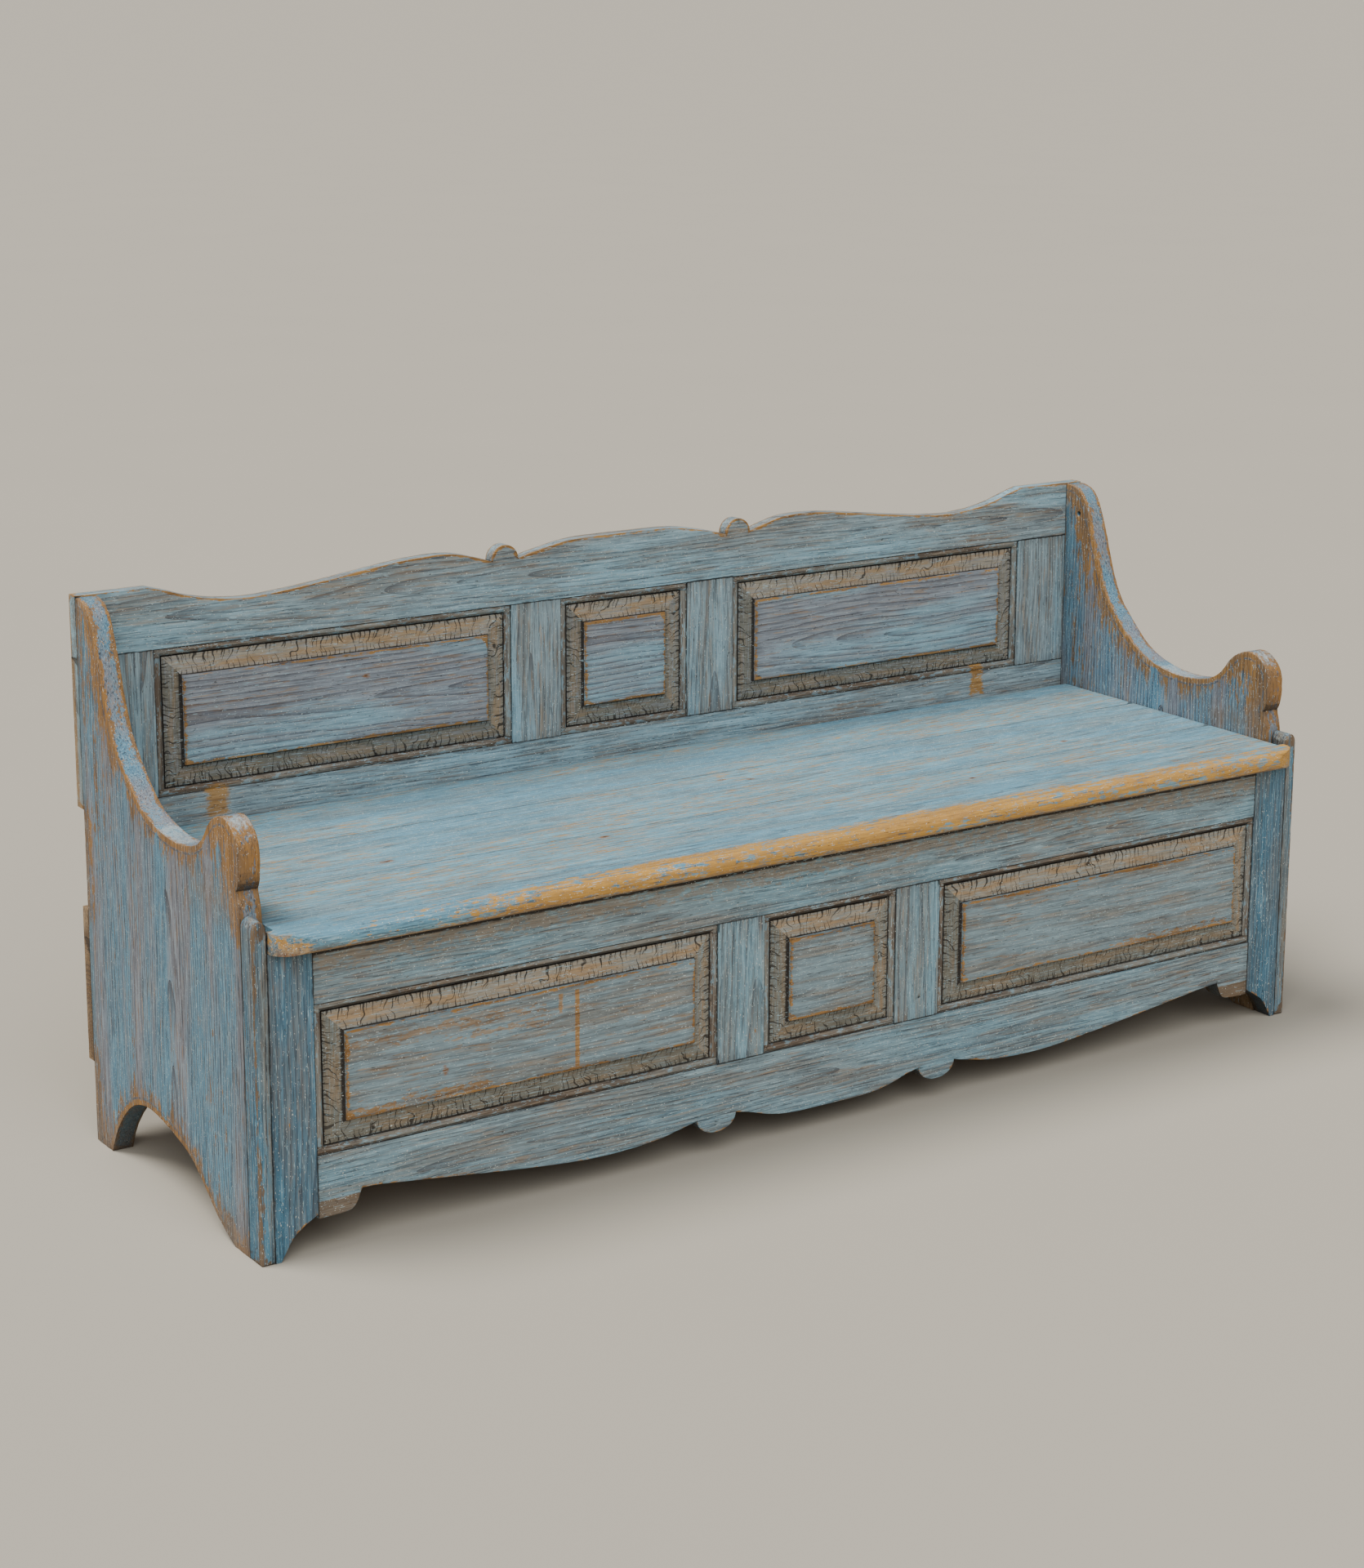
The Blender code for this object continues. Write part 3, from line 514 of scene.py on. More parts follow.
def bevelPaint(tree, colour, values):
    # the panel bevels: a tan and olive glaze with short dark brush marks across the slope; the glaze's
    # lightness by facing is painted light, pale tan and ochre on slopes facing up, olive on slopes
    # facing left
    run = readPlace(tree, "bevelRun")
    inset = readValue(tree, "inset")
    along, slope, side = split(tree, run)
    region = times(tree, band(tree, inset, -0.0006, 0.0002), band(tree, inset, 0.0307, 0.0301))
    drift = grainNoise(tree, run, (22.0, 0.7, 1.0), 2.0)
    tone = grainNoise(tree, run, (11.0, 2.0, 1.0), 3.0, 0.6)
    fine = grainNoise(tree, run, (30.0, 14.0, 1.0), 4.0, 0.65)
    # painted light and shade: side is the slope's painted lightness, so slopes facing up go pale tan and
    # more ochre, slopes facing left olive
    ground = blend(tree, side, colours["olive"], colours["paleTan"])
    ground = blend(tree, times(tree, band(tree, fine, 0.46, 0.62), 0.55), ground,
                         colours[values["second"]])
    ochreMask = times(tree, band(tree, tone, 0.46, 0.60), calc(tree, "MULTIPLY_ADD", side, 0.50, 0.12))
    middle = band(tree, calc(tree, "ABSOLUTE", calc(tree, "SUBTRACT", slope, 0.5)), 0.55, 0.15)
    ground = blend(tree, times(tree, ochreMask, middle), ground, colours["ochre"])
    ground = blend(tree, times(tree, band(tree, fine, 0.44, 0.30), 0.5), ground, colours["slate"])
    fade = band(tree, tone, 0.24, 0.40)
    for settings in brushRows:
        row = brushRow(tree, along, slope, drift, *settings)
        ground = blend(tree, times(tree, row, fade, 0.85), ground, colours["dirtAndShade"])
    rim = calc(tree, "ADD", band(tree, inset, 0.0014, 0.0006), band(tree, inset, 0.0284, 0.0298),
               clamp=True)
    rim = times(tree, rim, band(tree, fine, 0.32, 0.46))
    leftStep = times(tree, band(tree, side, 0.23, 0.21), band(tree, inset, 0.0240, 0.0270))
    rim = calc(tree, "MAXIMUM", rim, leftStep)
    ground = blend(tree, rim, ground, colours["dirtAndShade"])
    return blend(tree, region, colour, ground)


def forgedIron(name):
    # dark hand-forged iron with brown rust blooms
    material, tree, shader = newMaterial(name)
    spot = objectPlace(tree)
    bloom = grainNoise(tree, spot, (260.0, 260.0, 260.0), 4.0, 0.65)
    grain = grainNoise(tree, spot, (1400.0, 1400.0, 1400.0), 2.0)
    colour = blend(tree, band(tree, bloom, 0.42, 0.62), colours["iron"], colours["ironRust"])
    bright = times(tree, band(tree, grain, 0.60, 0.72), 0.6)
    colour = blend(tree, bright, colour, colours["ironBright"])
    tree.links.new(colour, shader.inputs["Base Color"])
    tree.links.new(calc(tree, "MULTIPLY_ADD", bloom, 0.5, 0.35, clamp=True), shader.inputs["Roughness"])
    tree.links.new(band(tree, bloom, 0.66, 0.42), shader.inputs["Metallic"])
    height = calc(tree, "MULTIPLY_ADD", bloom, 0.7, times(tree, grain, 0.3))
    relief = addNode(tree, "ShaderNodeBump", Height=height, Distance=0.0006, Strength=0.8)
    tree.links.new(relief.outputs[0], shader.inputs["Normal"])
    return material


# shaping the members
farAway = 0.060            # distances to an arris or a joint are kept up to here
sharpTurn = math.radians(33)
shadeTurn = math.radians(42)
flatTurn = math.radians(0.4)
meetGap = 0.0013           # members closer than this meet in a joint
edgeStep = 0.020           # edges are tested for joints in lengths of this
mouldingEdge = -0.002      # edges further inside an opening than this aren't arrises
roundMost = 0.0060         # the widest rounding; others are given as shares of it
roundTight = 0.0005        # the rounding of an edge that lies in a joint


def newObject(name, data):
    thing = bpy.data.objects.new(name, data)
    bpy.context.scene.collection.objects.link(thing)
    return thing


def surfaceOfAll():
    # every node's surface in one tree, to find where members meet
    spots, faces, owners = [], [], []
    for name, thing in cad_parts.items():
        first = len(spots)
        spots += [v.co.copy() for v in thing.data.vertices]
        for polygon in thing.data.polygons:
            faces.append([first + k for k in polygon.vertices])
            owners.append(name)
    return BVHTree.FromPolygons(spots, faces), owners


surfaceTree, surfaceOwners = surfaceOfAll()


def meetsAnother(point, node):
    return any(surfaceOwners[hit[2]] != node for hit in surfaceTree.find_nearest_range(point, meetGap))


def gapTo(points, segments):
    # distance from each point to the nearest of some short straight segments
    best = np.full(len(points), farAway ** 2)
    for start, end in segments:
        start, span = np.array(start), np.array(end) - np.array(start)
        share = np.clip((points - start) @ span / max(span @ span, 1e-12), 0.0, 1.0)
        gap = points - start - share[:, None] * span
        best = np.minimum(best, (gap ** 2).sum(axis=1))
    return np.sqrt(best)


def insideOpening(spot, openings, face):
    # how far a point lies inside the moulding's outer line, negative outside it
    if spot[1] > face + mouldingDeep:
        return -farAway
    best = -farAway
    for left, right, low, high in openings:
        x, z = spot[0], spot[2]
        outX, outZ = max(left - x, x - right), max(low - z, z - high)
        best = max(best, -max(outX, outZ))
    return best


def roundingAt(rounding, height):
    # one radius, or a height with the radius above it and the one below it
    if not isinstance(rounding, tuple):
        return rounding
    limit, above, below = rounding
    return above if height > limit else below


def sortEdges(work, node, rounding, openings, face):
    # weighs each sharp edge by how far it is rounded, and lists worn arrises, joints and creases
    weights = work.edges.layers.float.new("bevel_weight_edge")
    worn, joints = [], []
    for edge in work.edges:
        if len(edge.link_faces) != 2:
            continue
        turn = edge.calc_face_angle_signed(0.0)
        if abs(turn) < sharpTurn:
            continue
        start, end = edge.verts[0].co, edge.verts[1].co
        count = max(1, math.ceil((end - start).length / edgeStep))
        covered = 0
        for k in range(count):
            a, b = start.lerp(end, k / count), start.lerp(end, (k + 1) / count)
            meets = meetsAnother((a + b) / 2, node)
            covered += meets
            if openings and insideOpening((a + b) / 2, openings, face) > mouldingEdge:
                continue
            (joints if meets or turn < 0 else worn).append((tuple(a), tuple(b)))
        if turn > 0:
            height = ((start + end) / 2).z
            wide = roundTight if covered > count / 2 else roundingAt(rounding, height)
            edge[weights] = wide / roundMost
    return worn, joints


def cutGrid(work, steps):
    # cuts the mesh along planes every step metres of each axis
    for axis, step in enumerate(steps):
        if not step:
            continue
        values = [v.co[axis] for v in work.verts]
        low, high = min(values), max(values)
        count = max(1, round((high - low) / step))
        normal = [0.0, 0.0, 0.0]
        normal[axis] = 1.0
        for k in range(1, count):
            place = [0.0, 0.0, 0.0]
            place[axis] = low + (high - low) * k / count
            bmesh.ops.bisect_plane(work, geom=work.verts[:] + work.edges[:] + work.faces[:], dist=1e-5,
                                   plane_co=place, plane_no=normal)


def drillMesh(holes):
    # small round cutters for nail and peg holes: (centre, axis number, radius, depth)
    work = bmesh.new()
    for centre, axis, radius, depth in holes:
        turn = {0: Matrix.Rotation(math.pi / 2, 4, "Y"), 1: Matrix.Rotation(math.pi / 2, 4, "X"),
                2: Matrix.Identity(4)}[axis]
        bmesh.ops.create_cone(work, cap_ends=True, segments=18, radius1=radius, radius2=radius,
                              depth=depth * 2, matrix=Matrix.Translation(centre) @ turn)
    mesh = bpy.data.meshes.new("drill")
    work.to_mesh(mesh)
    work.free()
    return mesh


def rounded(work, holes):
    # the mesh with its holes bored and its arrises rounded by their weights
    mesh = bpy.data.meshes.new("rough")
    work.to_mesh(mesh)
    work.free()
    rough = newObject("rough", mesh)
    used = [rough]
    if holes:
        drill = newObject("drill", drillMesh(holes))
        used.append(drill)
        bore = rough.modifiers.new("bore", "BOOLEAN")
        bore.operation, bore.object, bore.solver = "DIFFERENCE", drill, "EXACT"
    soften = rough.modifiers.new("soften", "BEVEL")
    soften.width, soften.segments, soften.limit_method = roundMost, 3, "WEIGHT"
    soften.use_clamp_overlap = True
    soften.miter_outer = "MITER_SHARP"
    shown = rough.evaluated_get(bpy.context.evaluated_depsgraph_get())
    made = bpy.data.meshes.new_from_object(shown)
    for thing in used:
        data = thing.data
        bpy.data.objects.remove(thing)
        bpy.data.meshes.remove(data)
    return made


# the axes that run along the grain, across it and through the board
grainAxes = {"xFront": (0, 2, 1), "zFront": (2, 0, 1), "zSide": (2, 1, 0), "xPlan": (0, 1, 2),
             "yPlan": (1, 0, 2)}
grainShift = (3, 0.04, 0.012)             # each piece's grain is shifted by up to this
# painted light: how light each bevel's glaze is painted, by the way its slope faces
bevelFacingShade = (0.75, 0.25, 0.45, 0.20)    # slopes that face up, down, right and left
uneven = {"nick": 75, "fineNick": 210, "fineNickShare": 0.7, "roll": 5, "fineRoll": 26,
          "fineRollShare": 0.4, "depth": 0.6, "rollShare": 0.5, "nearArris": 0.003}
pieceCount = 0


def plainWork(node):
    work = bmesh.new()
    work.from_mesh(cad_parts[node].data)
    bmesh.ops.remove_doubles(work, verts=work.verts, dist=1e-6)
    bmesh.ops.dissolve_limit(work, angle_limit=flatTurn, verts=work.verts, edges=work.edges)
    return work


def pushIn(spot, far, chip, wave):
    # how deep a point is pushed in: chips near an arris, slow waves everywhere
    def wander(often):
        x, y, z = spot
        return noise.noise(Vector((x * often, y * often, z * often + pieceCount * 3.7)))

    nick = wander(uneven["nick"]) + uneven["fineNickShare"] * wander(uneven["fineNick"])
    roll = wander(uneven["roll"]) + uneven["fineRollShare"] * wander(uneven["fineRoll"])
    push = wave * (uneven["depth"] + uneven["rollShare"] * roll)
    return max(0.0, push + chip * max(0.0, nick) * math.exp(-far / uneven["nearArris"]))


def slopeSide(normal):
    # 0 faces up, 1 down, 2 right and 3 left
    if abs(normal.x) > abs(normal.z):
        return 3 if normal.x < 0 else 2
    return 1 if normal.z < 0 else 0


def storeBevelRun(mesh, spots, inset, sideOf):
    # the way along a bevel, up its slope and its painted light by facing (lightest facing up, darkest
    # facing left), for the glaze and brush marks
    layer = mesh.attributes.new("bevelRun", "FLOAT_VECTOR", "CORNER")
    runs = np.zeros((len(mesh.loops), 3), dtype=np.float32)
    for polygon, side in zip(mesh.polygons, sideOf):
        for loop in polygon.loop_indices:
            vertex = mesh.loops[loop].vertex_index
            along = spots[vertex][2] if side >= 2 else spots[vertex][0]
            runs[loop] = (along + side * 1.7 + pieceCount * 2.3, inset[vertex] / bevelWide,
                          bevelFacingShade[side])
    layer.data.foreach_set("vector", runs.ravel())


def rawBehind(depth):
    # bare wood on what lies behind a depth or faces the rear
    return lambda x, y, z, nx, ny, nz: 1.0 if y > depth or ny > 0.6 else 0.0


def shapeMember(node, material, grain, *, name, body="frame",
                steps=(0.014, 0.014, 0.014), rounding=0.0014, chip=0.0006, wave=0.00022, rubAt=None,
                rawAt=None, holes=(), openings=(), face=None, panel=False):
    # a finished member from its plain frame part: rounded, nibbled and slightly uneven
    global pieceCount
    pieceCount += 1
    work = plainWork(node)
    worn, joints = sortEdges(work, node, rounding, openings, face)
    mesh = rounded(work, holes)
    work = bmesh.new()
    work.from_mesh(mesh)
    bpy.data.meshes.remove(mesh)
    cutGrid(work, steps)
    work.normal_update()
    spots = np.array([tuple(v.co) for v in work.verts])
    normals = np.array([tuple(v.normal) for v in work.verts])
    arris, seam = gapTo(spots, worn), gapTo(spots, joints)
    for k, vertex in enumerate(work.verts):
        vertex.co = Vector(spots[k] - normals[k] * pushIn(spots[k], arris[k], chip, wave))
    sideOf = [slopeSide(polygon.normal) for polygon in work.faces] if panel else []
    mesh = bpy.data.meshes.new(name)
    work.to_mesh(mesh)
    work.free()
    picker = random.Random(pieceCount * 17)
    shift = np.array([picker.uniform(-reach, reach) for reach in grainShift])
    centre = (spots.min(axis=0) + spots.max(axis=0)) / 2
    place = (spots - centre)[:, list(grainAxes[grain])] + shift
    layer = mesh.attributes.new("grainSpot", "FLOAT_VECTOR", "POINT")
    layer.data.foreach_set("vector", place.astype(np.float32).ravel())
    values = {"arris": arris, "seam": seam}
    for key, valueAt in (("rub", rubAt), ("raw", rawAt)):
        values[key] = [valueAt(*spot, *normal) if valueAt else 0.0
                       for spot, normal in zip(spots, normals)]
    if openings:
        values["bead"] = [insideOpening(spot, openings, face) for spot in spots]
    if panel:
        low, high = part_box(node)
        values["inset"] = [min(x - low.x, high.x - x, z - low.z, high.z - z) - tongueReach
                           for x, y, z in spots]
    for key, numbers in values.items():
        layer = mesh.attributes.new(key, "FLOAT", "POINT")
        layer.data.foreach_set("value", np.asarray(numbers, dtype=np.float32))
    if panel:
        storeBevelRun(mesh, spots, values["inset"], sideOf)
    mesh.shade_smooth()
    mesh.set_sharp_from_angle(angle=shadeTurn)
    piece = newObject(name, mesh)
    mesh.materials.append(material)
    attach(piece, body)
    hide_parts(node)


# end boards and corner strips
endLook = {
    "paint": "endBlue", "second": "greyViolet", "glaze": "clearBlue", "glazeShow": 0.55,
    "thin": "tan", "thinShow": 0.50, "ringShow": 0.80, "wearAmount": 0.80, "wearReach": 0.010,
    "patchSize": (0.9, 15.0, 15.0), "darkShow": 0.90, "strokeShow": 0.30, "fleckShow": 0.50,
    "seamWide": 0.0024, "wood": "amber", "woodDark": "brown", "dashes": True, "wearBroad": 0.60,
    "wearStreak": 2.4, "wearFine": 1.7, "paintedUnderShade": 0.7,
    "marks": (
        # pale worn paint with a painted highlight on top of the swoop's low part
        {"centre": (0.0, frontFace + 0.255, 0.56), "half": (1.0, 0.035, 0.035), "soft": 0.010,
         "ragged": 0.08, "colour": "white", "share": 0.42, "onEdge": True},
        {"centre": (0.0, frontFace + 0.125, 0.480), "half": (1.0, 0.050, 0.010), "soft": 0.045,
         "ragged": 0.090, "colour": "umber", "share": 0.70},
        {"centre": (0.0, backRear, 0.380), "half": (1.0, 0.015, 0.400), "soft": 0.050,
         "ragged": 0.090, "colour": "greyBrown", "share": 0.55},
        {"centre": (0.0, 0.0, 0.0), "half": (1.0, 0.4, 0.020), "soft": 0.060, "ragged": 0.06,
         "colour": "umber", "share": 0.60},
        # pale worn paint with a painted highlight on top of the hand rest
        {"centre": (0.0, frontFace + 0.065, 0.585), "half": (1.0, 0.01, 0.01), "soft": 0.008,
         "ragged": 0.06, "colour": "white", "share": 0.5, "onEdge": True},
    ),
}


def endRub(x, y, z, nx, ny, nz):
    # rubbed at the back top corner, round the hand rest and at the feet
    rear = max(0.0, 1.0 - math.hypot((y - backRear + 0.03) * 4.0, (z - 0.72) * 3.2))
    rest = max(0.0, 1.0 - math.hypot((y - frontFace - 0.035) * 9.0, (z - 0.55) * 7.0))
    foot = max(0.0, 1.0 - z / 0.06) * 0.25
    return 0.46 * rear + 0.90 * rest + foot


def endRaw(x, y, z, nx, ny, nz):
    inside = abs(x) < innerFace + 0.003 and z < seatUnder - 0.004
    return 1.0 if inside or nz < -0.9 and z < 0.01 else 0.0


endRounding = (0.46, 0.0042, 0.0030)
endPaint = paintedPine("end_board_paint", endLook)
for side in hands:
    peg = (Vector((innerFace, frontFace + 0.508, 0.761)), 0, 0.0042, 0.010)
    shapeMember(f"end_board_{side}", endPaint, "zSide", rounding=endRounding, rubAt=endRub,
                rawAt=endRaw, holes=[peg] if side == "right" else (), name=f"end_{side}",
                steps=(0.006, 0.012, 0.012), chip=0.0012)
stripLook = {
    **endLook, "wearAmount": 0.85, "paint": "deepBlue", "second": "greyBrown", "wood": "umber",
    "woodDark": "brown", "wearBroad": 0.20, "marks": (),
}
stripPaint = paintedPine("corner_strip_paint", stripLook)
for side in hands:
    shapeMember(f"corner_strip_{side}", stripPaint, "zFront", rounding=0.0022,
                steps=(0, 0, 0.010), name=f"strip_{side}", chip=0.0012)
print("ends done")

# front frame
frontLook = {
    "paint": "blue", "second": "greyBlue", "bead": True, "paintedUnderShade": 0.80, "wearAmount": 0.42,
    "glazeShow": 0.45, "thinShow": 0.40,
    "marks": (
        {"centre": (0.0, frontFace, railTop - 0.019), "half": (1.0, 0.004, 0.012), "ragged": 0.080,
         "colour": "tan", "share": 0.55},
        # painted shadow of the nosing: a dark band along the top of the rail
        {"centre": (0.0, frontFace, railTop - 0.004), "half": (1.0, 0.004, 0.0090), "ragged": 0.004,
         "colour": "dirtAndShade", "share": 0.95},
        # brown paint with painted shade on the apron's low steps beside the stiles, darkened as if set
        # back in shadow
        {"centre": (-0.810, frontFace, 0.060), "half": (0.040, 0.003, 0.0125), "ragged": 0.006,
         "colour": "umber", "share": 0.85},
        {"centre": (0.810, frontFace, 0.060), "half": (0.040, 0.003, 0.0125), "ragged": 0.006,
         "colour": "umber", "share": 0.85},
    ),
}

frontRounding = (0.0999, 0.0016, 0.0026)
frontRaw = rawBehind(frontRear - 0.003)
frontPaint = paintedPine("front_frame_paint", frontLook)
stileLook = {
    **frontLook, "paint": "deepBlue", "second": "slateBlue", "fleckShow": 0.15, "glazeShow": 0.3,
    "thinShow": 0.2, "strokeShow": 0.3, "marks": (),
}
stilePaint = paintedPine("front_stile_paint", stileLook)
for node, grain in (("front_top_rail", "xFront"), ("front_apron", "xFront"),
                    ("front_muntin_left", "zFront"), ("front_muntin_right", "zFront")):
    nail = (Vector((0.165, frontFace, 0.170)), 1, 0.0022, 0.006)
    shapeMember(node, frontPaint, grain, rounding=frontRounding, rawAt=frontRaw,
                openings=frontOpenings, face=frontFace, holes=[nail] if node.endswith("_right") else (),
                name=node.replace("front_", "box_"))
for side in hands:
    shapeMember(f"front_stile_{side}", stilePaint, "zFront", rounding=frontRounding, rawAt=frontRaw,
                openings=frontOpenings, face=frontFace, name=f"box_stile_{side}")
print("box front done")

# back frame
# painted light in part: the back frame's paint is a lighter copy of the front's blue
backLook = {
    "paint": "restBlue", "second": "restGrey", "glaze": "greyBrown", "bead": True,
    "glazeShow": 0.42, "wearAmount": 0.70, "wearReach": 0.007,
    "marks": (
        {"centre": (-0.716, backFace, 0.481), "half": (0.017, 0.01, 0.023), "soft": 0.005,
         "ragged": 0.030, "colour": "wood", "share": 0.85},
        {"centre": (0.705, backFace, 0.497), "half": (0.013, 0.03, 0.036), "soft": 0.003,
         "ragged": 0.030, "colour": "wood", "share": 0.9},
    ),
}

backRounding = (0.74, 0.0030, 0.0014)
backRaw = rawBehind(backRear - 0.003)
backPaint = paintedPine("back_frame_paint", backLook)
for node, grain in (("back_crest_rail", "xFront"), ("back_seat_rail", "xFront"),
                    ("back_stile_left", "zFront"), ("back_stile_right", "zFront"),
                    ("back_muntin_left", "zFront"), ("back_muntin_right", "zFront")):
    shapeMember(node, backPaint, grain, rounding=backRounding, rawAt=backRaw, openings=backOpenings,
                face=backFace, name=node.replace("back_", "rest_"),
                steps=(0.014, 0.0055 if node == "back_crest_rail" else 0, 0.014))
print("back done")

# panels
# painted light in part: the back panels' blue and violet are lighter copies, as on the back frame
panelLook = {
    "paint": "restBlue", "second": "restViolet", "glaze": "restViolet", "glazeShow": 0.6,
    "ringShow": 0.75, "ringSpacing": 0.0084, "pith": 0.030, "tilt": 0.036, "wearAmount": 0.62,
    "wearReach": 0.008, "fleckShow": 0.40, "thinShow": 0.35, "strokeShow": 0.28, "darkShow": 0.35,
    "bevel": True, "seamWide": 0.0016,
    "marks": (
        {"centre": (-0.4395, frontFace, 0.240), "half": (0.0035, 0.012, 0.057), "ragged": 0.004,
         "colour": "wood", "share": 0.85},
        {"centre": (-0.4660, frontFace, 0.281), "half": (0.0030, 0.012, 0.014), "ragged": 0.006,
         "colour": "wood", "share": 0.7},
        {"centre": (-0.640, frontFace, 0.284), "half": (0.150, 0.012, 0.003), "ragged": 0.060,
         "colour": "wood", "share": 0.5},
        {"centre": (-0.560, frontFace, 0.262), "half": (0.080, 0.012, 0.002), "ragged": 0.060,
         "colour": "wood", "share": 0.5},
        {"centre": (-0.690, frontFace, 0.190), "half": (0.110, 0.012, 0.003), "ragged": 0.050,
         "colour": "wood", "share": 0.7},
        {"centre": (0.660, frontFace, 0.186), "half": (0.120, 0.012, 0.002), "ragged": 0.050,
         "colour": "wood", "share": 0.7},
    ),
    "knots": (
        {"centre": (-0.649, frontFace, 0.222), "squash": (1.0, 0.3, 0.6), "size": 0.006},
        {"centre": (-0.470, backFace, 0.640), "squash": (0.5, 0.3, 1.0), "size": 0.005},
    ),
}

frontPanelLook = {
    **panelLook, "second": "greyBlue", "paint": "greyBlue", "glaze": "greyBrown", "ringShow": 0.42,
    "strokeShow": 0.20,
}
frontPanelPaint = paintedPine("front_panel_paint", frontPanelLook)
panelPaint = paintedPine("back_panel_paint", panelLook)
for side in sideNames:
    shapeMember(f"front_panel_{side}", frontPanelPaint, "xFront",
                rawAt=rawBehind(frontFace + 0.020), panel=True, name=f"front_field_{side}",
                rounding=0.0012, chip=0.0010, steps=(0.010, 0, 0.010))
    shapeMember(f"back_panel_{side}", panelPaint, "xFront",
                rawAt=rawBehind(backFace + 0.012), panel=True, name=f"back_field_{side}",
                rounding=0.0010, chip=0.0010, steps=(0.010, 0, 0.010))
print("panels done")

# seat lid
knotSpots = ((-0.62, -0.06, 0.007), (-0.30, -0.12, 0.006), (0.02, 0.05, 0.006),
             (0.06, 0.03, 0.005), (0.35, -0.15, 0.005), (0.62, -0.05, 0.006))
seatKnots = [{"centre": (x, y, seatTop), "squash": (0.55, 1.0, 0.3), "size": size}
             for x, y, size in knotSpots]
seatLook = {
    "paint": "seatBlue", "second": "seatPale", "glaze": "seatGrey", "glazeShow": 0.45,
    "ringShow": 0.35, "darkShow": 0.70, "strokeShow": 0.32, "fleckShow": 0.80, "thinShow": 0.25,
    "fleckEdge": 0.56, "fleckGrain": (34.0, 420.0, 420.0), "wood": "ochreBright",
    "woodDark": "ochre", "wearAmount": 0.30, "wearReach": 0.010, "seamShow": 0.7,
    "seamWide": 0.0012, "jointShade": 0.04, "roughness": 0.52, "bump": 0.55, "knots": seatKnots,
    "marks": (
        # painted shadow of the back: a darker band along the seat's rear edge
        {"centre": (0.0, seatRear, seatTop), "half": (1.0, 0.006, 0.01), "soft": 0.034,
         "ragged": 0.010, "colour": "deepBlue", "share": 0.80},
        {"centre": (-0.880, nosingFront + 0.020, seatUnder), "half": (0.050, 0.020, 0.010),
         "soft": 0.016, "ragged": 0.030, "colour": "brown", "share": 0.70},
        {"centre": (-0.860, nosingFront + 0.030, seatTop), "half": (0.050, 0.030, 0.003),
         "soft": 0.006, "ragged": 0.012, "colour": "seatBlue", "share": 0.75},
        # painted shade: a darker brown band along the nosing's underside and lower edge
        {"centre": (0.0, nosingFront, seatUnder), "half": (1.0, 0.020, 0.004), "soft": 0.006,
         "ragged": 0.040, "colour": "rust", "share": 0.60},
    ),
}


def seatRub(x, y, z, nx, ny, nz):
    # the nosing's rubbed band, stronger towards the middle and right
    edge = min(1.0, max(0.0, (0.052 - (y - nosingFront)) / 0.022))
    along = min(1.0, max(0.0, (x + 0.95) / 0.55))
    return edge * (0.14 + 0.52 * along - 0.14 * max(0.0, (x - 0.3) / 0.6))


def seatRaw(x, y, z, nx, ny, nz):
    return 1.0 if nz < -0.6 else 0.0


seatPaint = paintedPine("seat_paint", seatLook)
for part in ("front", "middle", "rear"):
    shapeMember(f"lid_board_{part}", seatPaint, "xPlan", body="seat_lid",
                rubAt=seatRub if part == "front" else None, rawAt=seatRaw, steps=(0.014, 0.012, 0),
                name=f"seat_board_{part}", rounding=0.0020, chip=0.0008)
print("seat done")

# bare pine inside, below and behind
pineLook = {
    "paint": "pine", "second": "pineDark", "glaze": "pineDark", "strokes": "pine", "wood": "pine",
    "woodDark": "pineDark", "speckShow": 0.15, "glazeShow": 0.3, "bump": 0.7,
}
barePine = paintedPine("bare_pine", pineLook)
for side in sideNames:
    shapeMember(f"lid_batten_{side}", barePine, "yPlan", body="seat_lid",
                name=f"batten_{side}")
for part in ("top", "middle", "bottom"):
    shapeMember(f"lower_back_board_{part}", barePine, "xFront",
                name=f"rear_board_{part}", steps=(0.03, 0, 0.02))
for part in ("front", "middle", "rear"):
    shapeMember(f"box_floor_board_{part}", barePine, "xPlan",
                name=f"floor_board_{part}", steps=(0.03, 0.02, 0))
for part, grain in (("left", "yPlan"), ("right", "yPlan"), ("front", "xPlan"), ("back", "xPlan")):
    shapeMember(f"floor_cleat_{part}", barePine, grain, name=f"cleat_{part}",
                steps=(0.03, 0.03, 0))
iron = forgedIron("forged_iron")
for side in hands:
    shapeMember(f"hinge_pin_{side}", iron, "xPlan", body="seat_lid",
                name=f"pin_{side}", steps=(0.005, 0, 0), wave=0.0001, rounding=0.001)
    for number in range(1, 7):
        shapeMember(f"back_nail_{side}_{number}", iron, "xPlan",
                    name=f"nail_{side}_{number}", steps=(0, 0, 0), wave=0.0001,
                    rounding=0.0009)
print("bare wood and iron done")

# floor, light and camera
studio = {"reach": 400.0, "floor": (0.50, 0.455, 0.375), "cloud": (1.4, 1.4, 1.4), "cloudShow": 0.16,
          "cloudDark": 0.75, "roughness": 0.8, "specular": 0.15, "sky": (0.90, 0.92, 0.95, 1.0),
          "skyPower": 0.22}
lights = {
    "key": {"aim": (0.42, -0.20, -1.0), "spread": 28, "power": 2.85, "tint": (1.0, 0.985, 0.965)},
    "fill": {"aim": (0.40, 0.85, -0.90), "spread": 60, "power": 2.15, "tint": (0.98, 0.99, 1.0)},
}


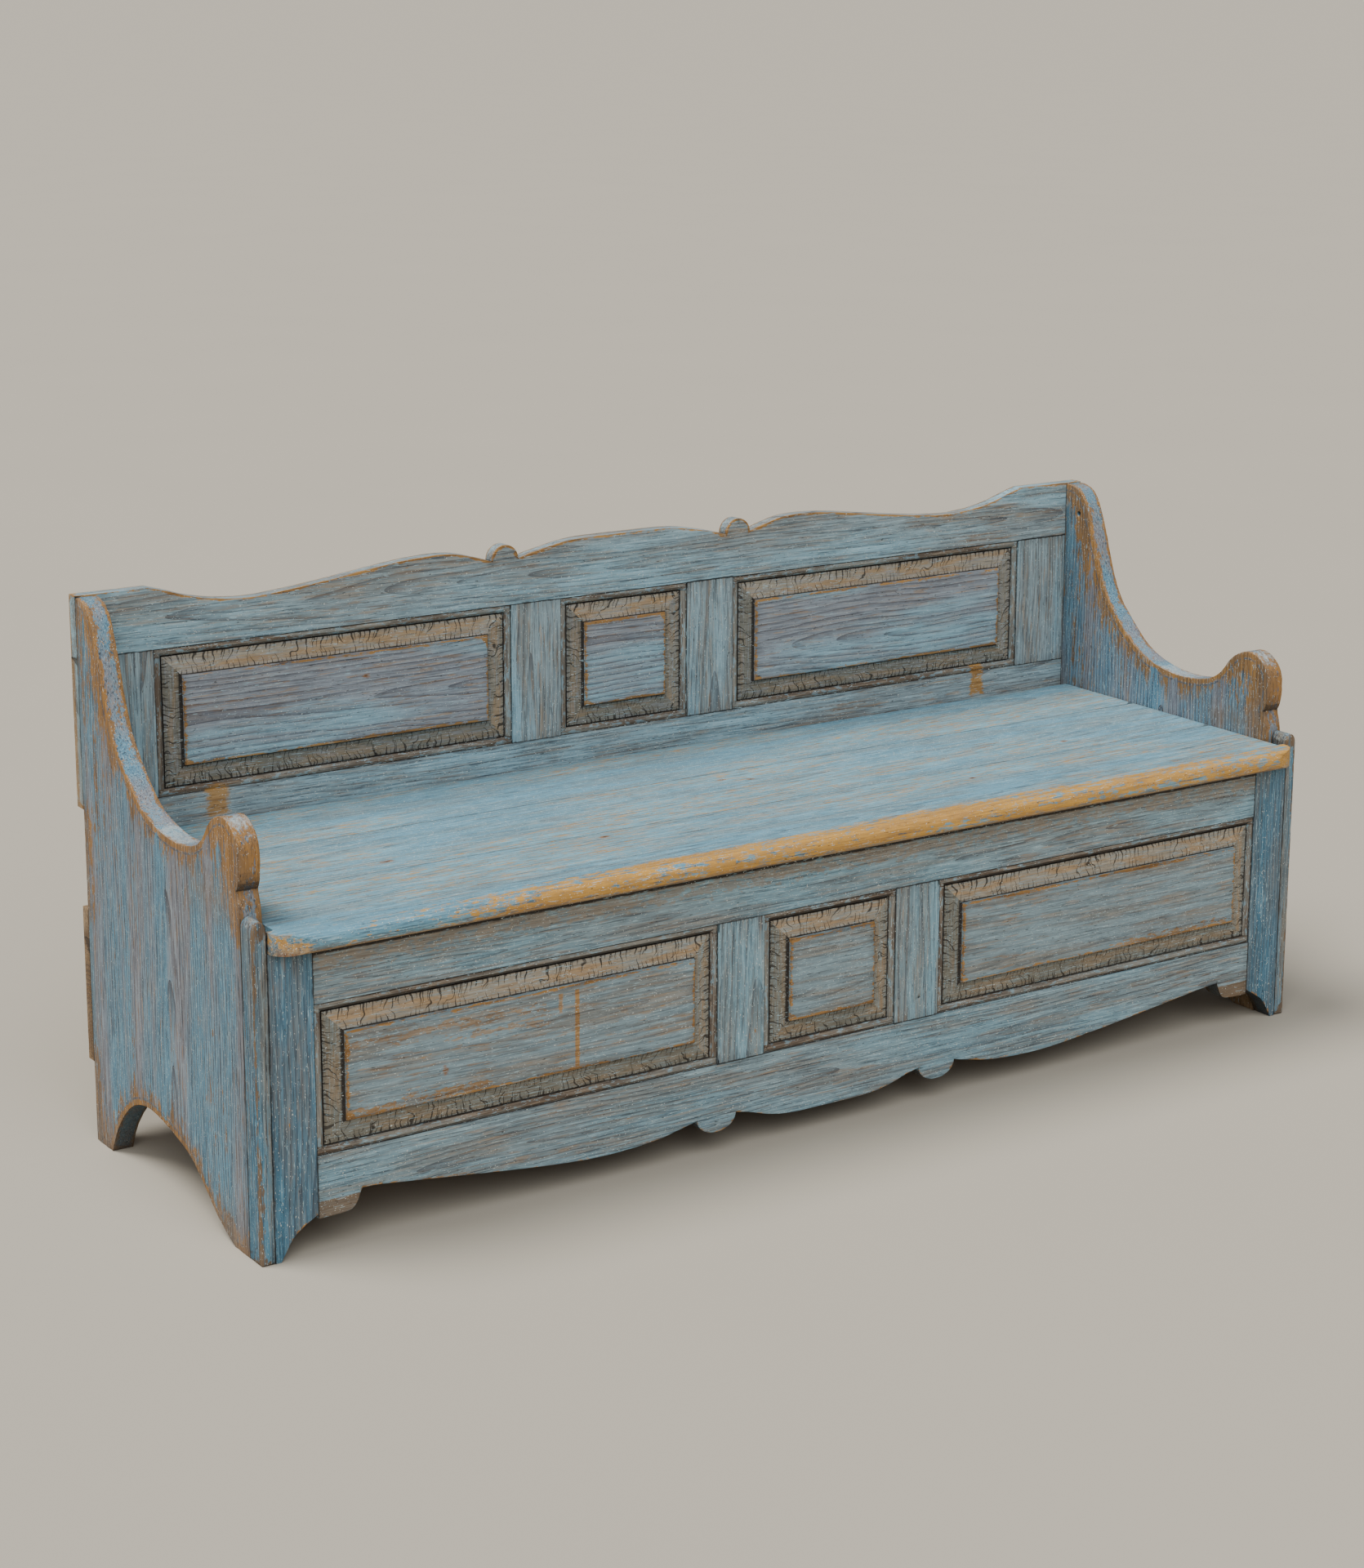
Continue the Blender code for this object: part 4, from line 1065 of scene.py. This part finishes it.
def floorMaterial():
    material, tree, shader = newMaterial("studio_floor")
    spot = objectPlace(tree)
    cloud = grainNoise(tree, spot, studio["cloud"], 4.0)
    darker = tuple(part * studio["cloudDark"] for part in studio["floor"])
    tone = blend(tree, times(tree, cloud, studio["cloudShow"]), studio["floor"], darker)
    tree.links.new(tone, shader.inputs["Base Color"])
    shader.inputs["Roughness"].default_value = studio["roughness"]
    shader.inputs["Specular IOR Level"].default_value = studio["specular"]
    return material


floorMesh = bpy.data.meshes.new("floor")
reach = studio["reach"]
floorMesh.from_pydata([(-reach, -reach, 0), (reach, -reach, 0), (reach, reach, 0), (-reach, reach, 0)],
                      [], [(0, 1, 2, 3)])
floorMesh.materials.append(floorMaterial())
floor = newObject("studio_floor", floorMesh)

for name, light in lights.items():
    lamp = bpy.data.lights.new(f"light_{name}", "SUN")
    lamp.angle, lamp.energy, lamp.color = math.radians(light["spread"]), light["power"], light["tint"]
    holder = newObject(f"light_{name}", lamp)
    holder.rotation_euler = Vector(light["aim"]).to_track_quat("-Z", "Y").to_euler()
world = bpy.data.worlds.new("studio")
world.use_nodes = True
world.node_tree.nodes["Background"].inputs[0].default_value = studio["sky"]
world.node_tree.nodes["Background"].inputs[1].default_value = studio["skyPower"]
bpy.context.scene.world = world

view = {"place": (-2.54396, -3.69117, 1.66475), "azimuth": 33.6963, "elevation": 12.9416, "roll": 0.1748,
        "lens": 70.18, "shiftX": -0.0018, "shiftY": -0.0694}
azimuth, elevation, roll = (math.radians(view[k]) for k in ("azimuth", "elevation", "roll"))
ahead = Vector((math.sin(azimuth) * math.cos(elevation), math.cos(azimuth) * math.cos(elevation),
                -math.sin(elevation)))
right = Vector((math.cos(azimuth), -math.sin(azimuth), 0.0))
upward = right.cross(ahead)
turnedRight = math.cos(roll) * right + math.sin(roll) * upward
turnedUp = -math.sin(roll) * right + math.cos(roll) * upward
lensData = bpy.data.cameras.new("camera")
lensData.lens, lensData.sensor_width, lensData.sensor_fit = view["lens"], 36.0, "AUTO"
lensData.shift_x, lensData.shift_y = view["shiftX"], view["shiftY"]
camera = newObject("camera", lensData)
camera.matrix_world = Matrix((turnedRight, turnedUp, -ahead)).transposed().to_4x4()
camera.location = view["place"]
bpy.context.scene.camera = camera
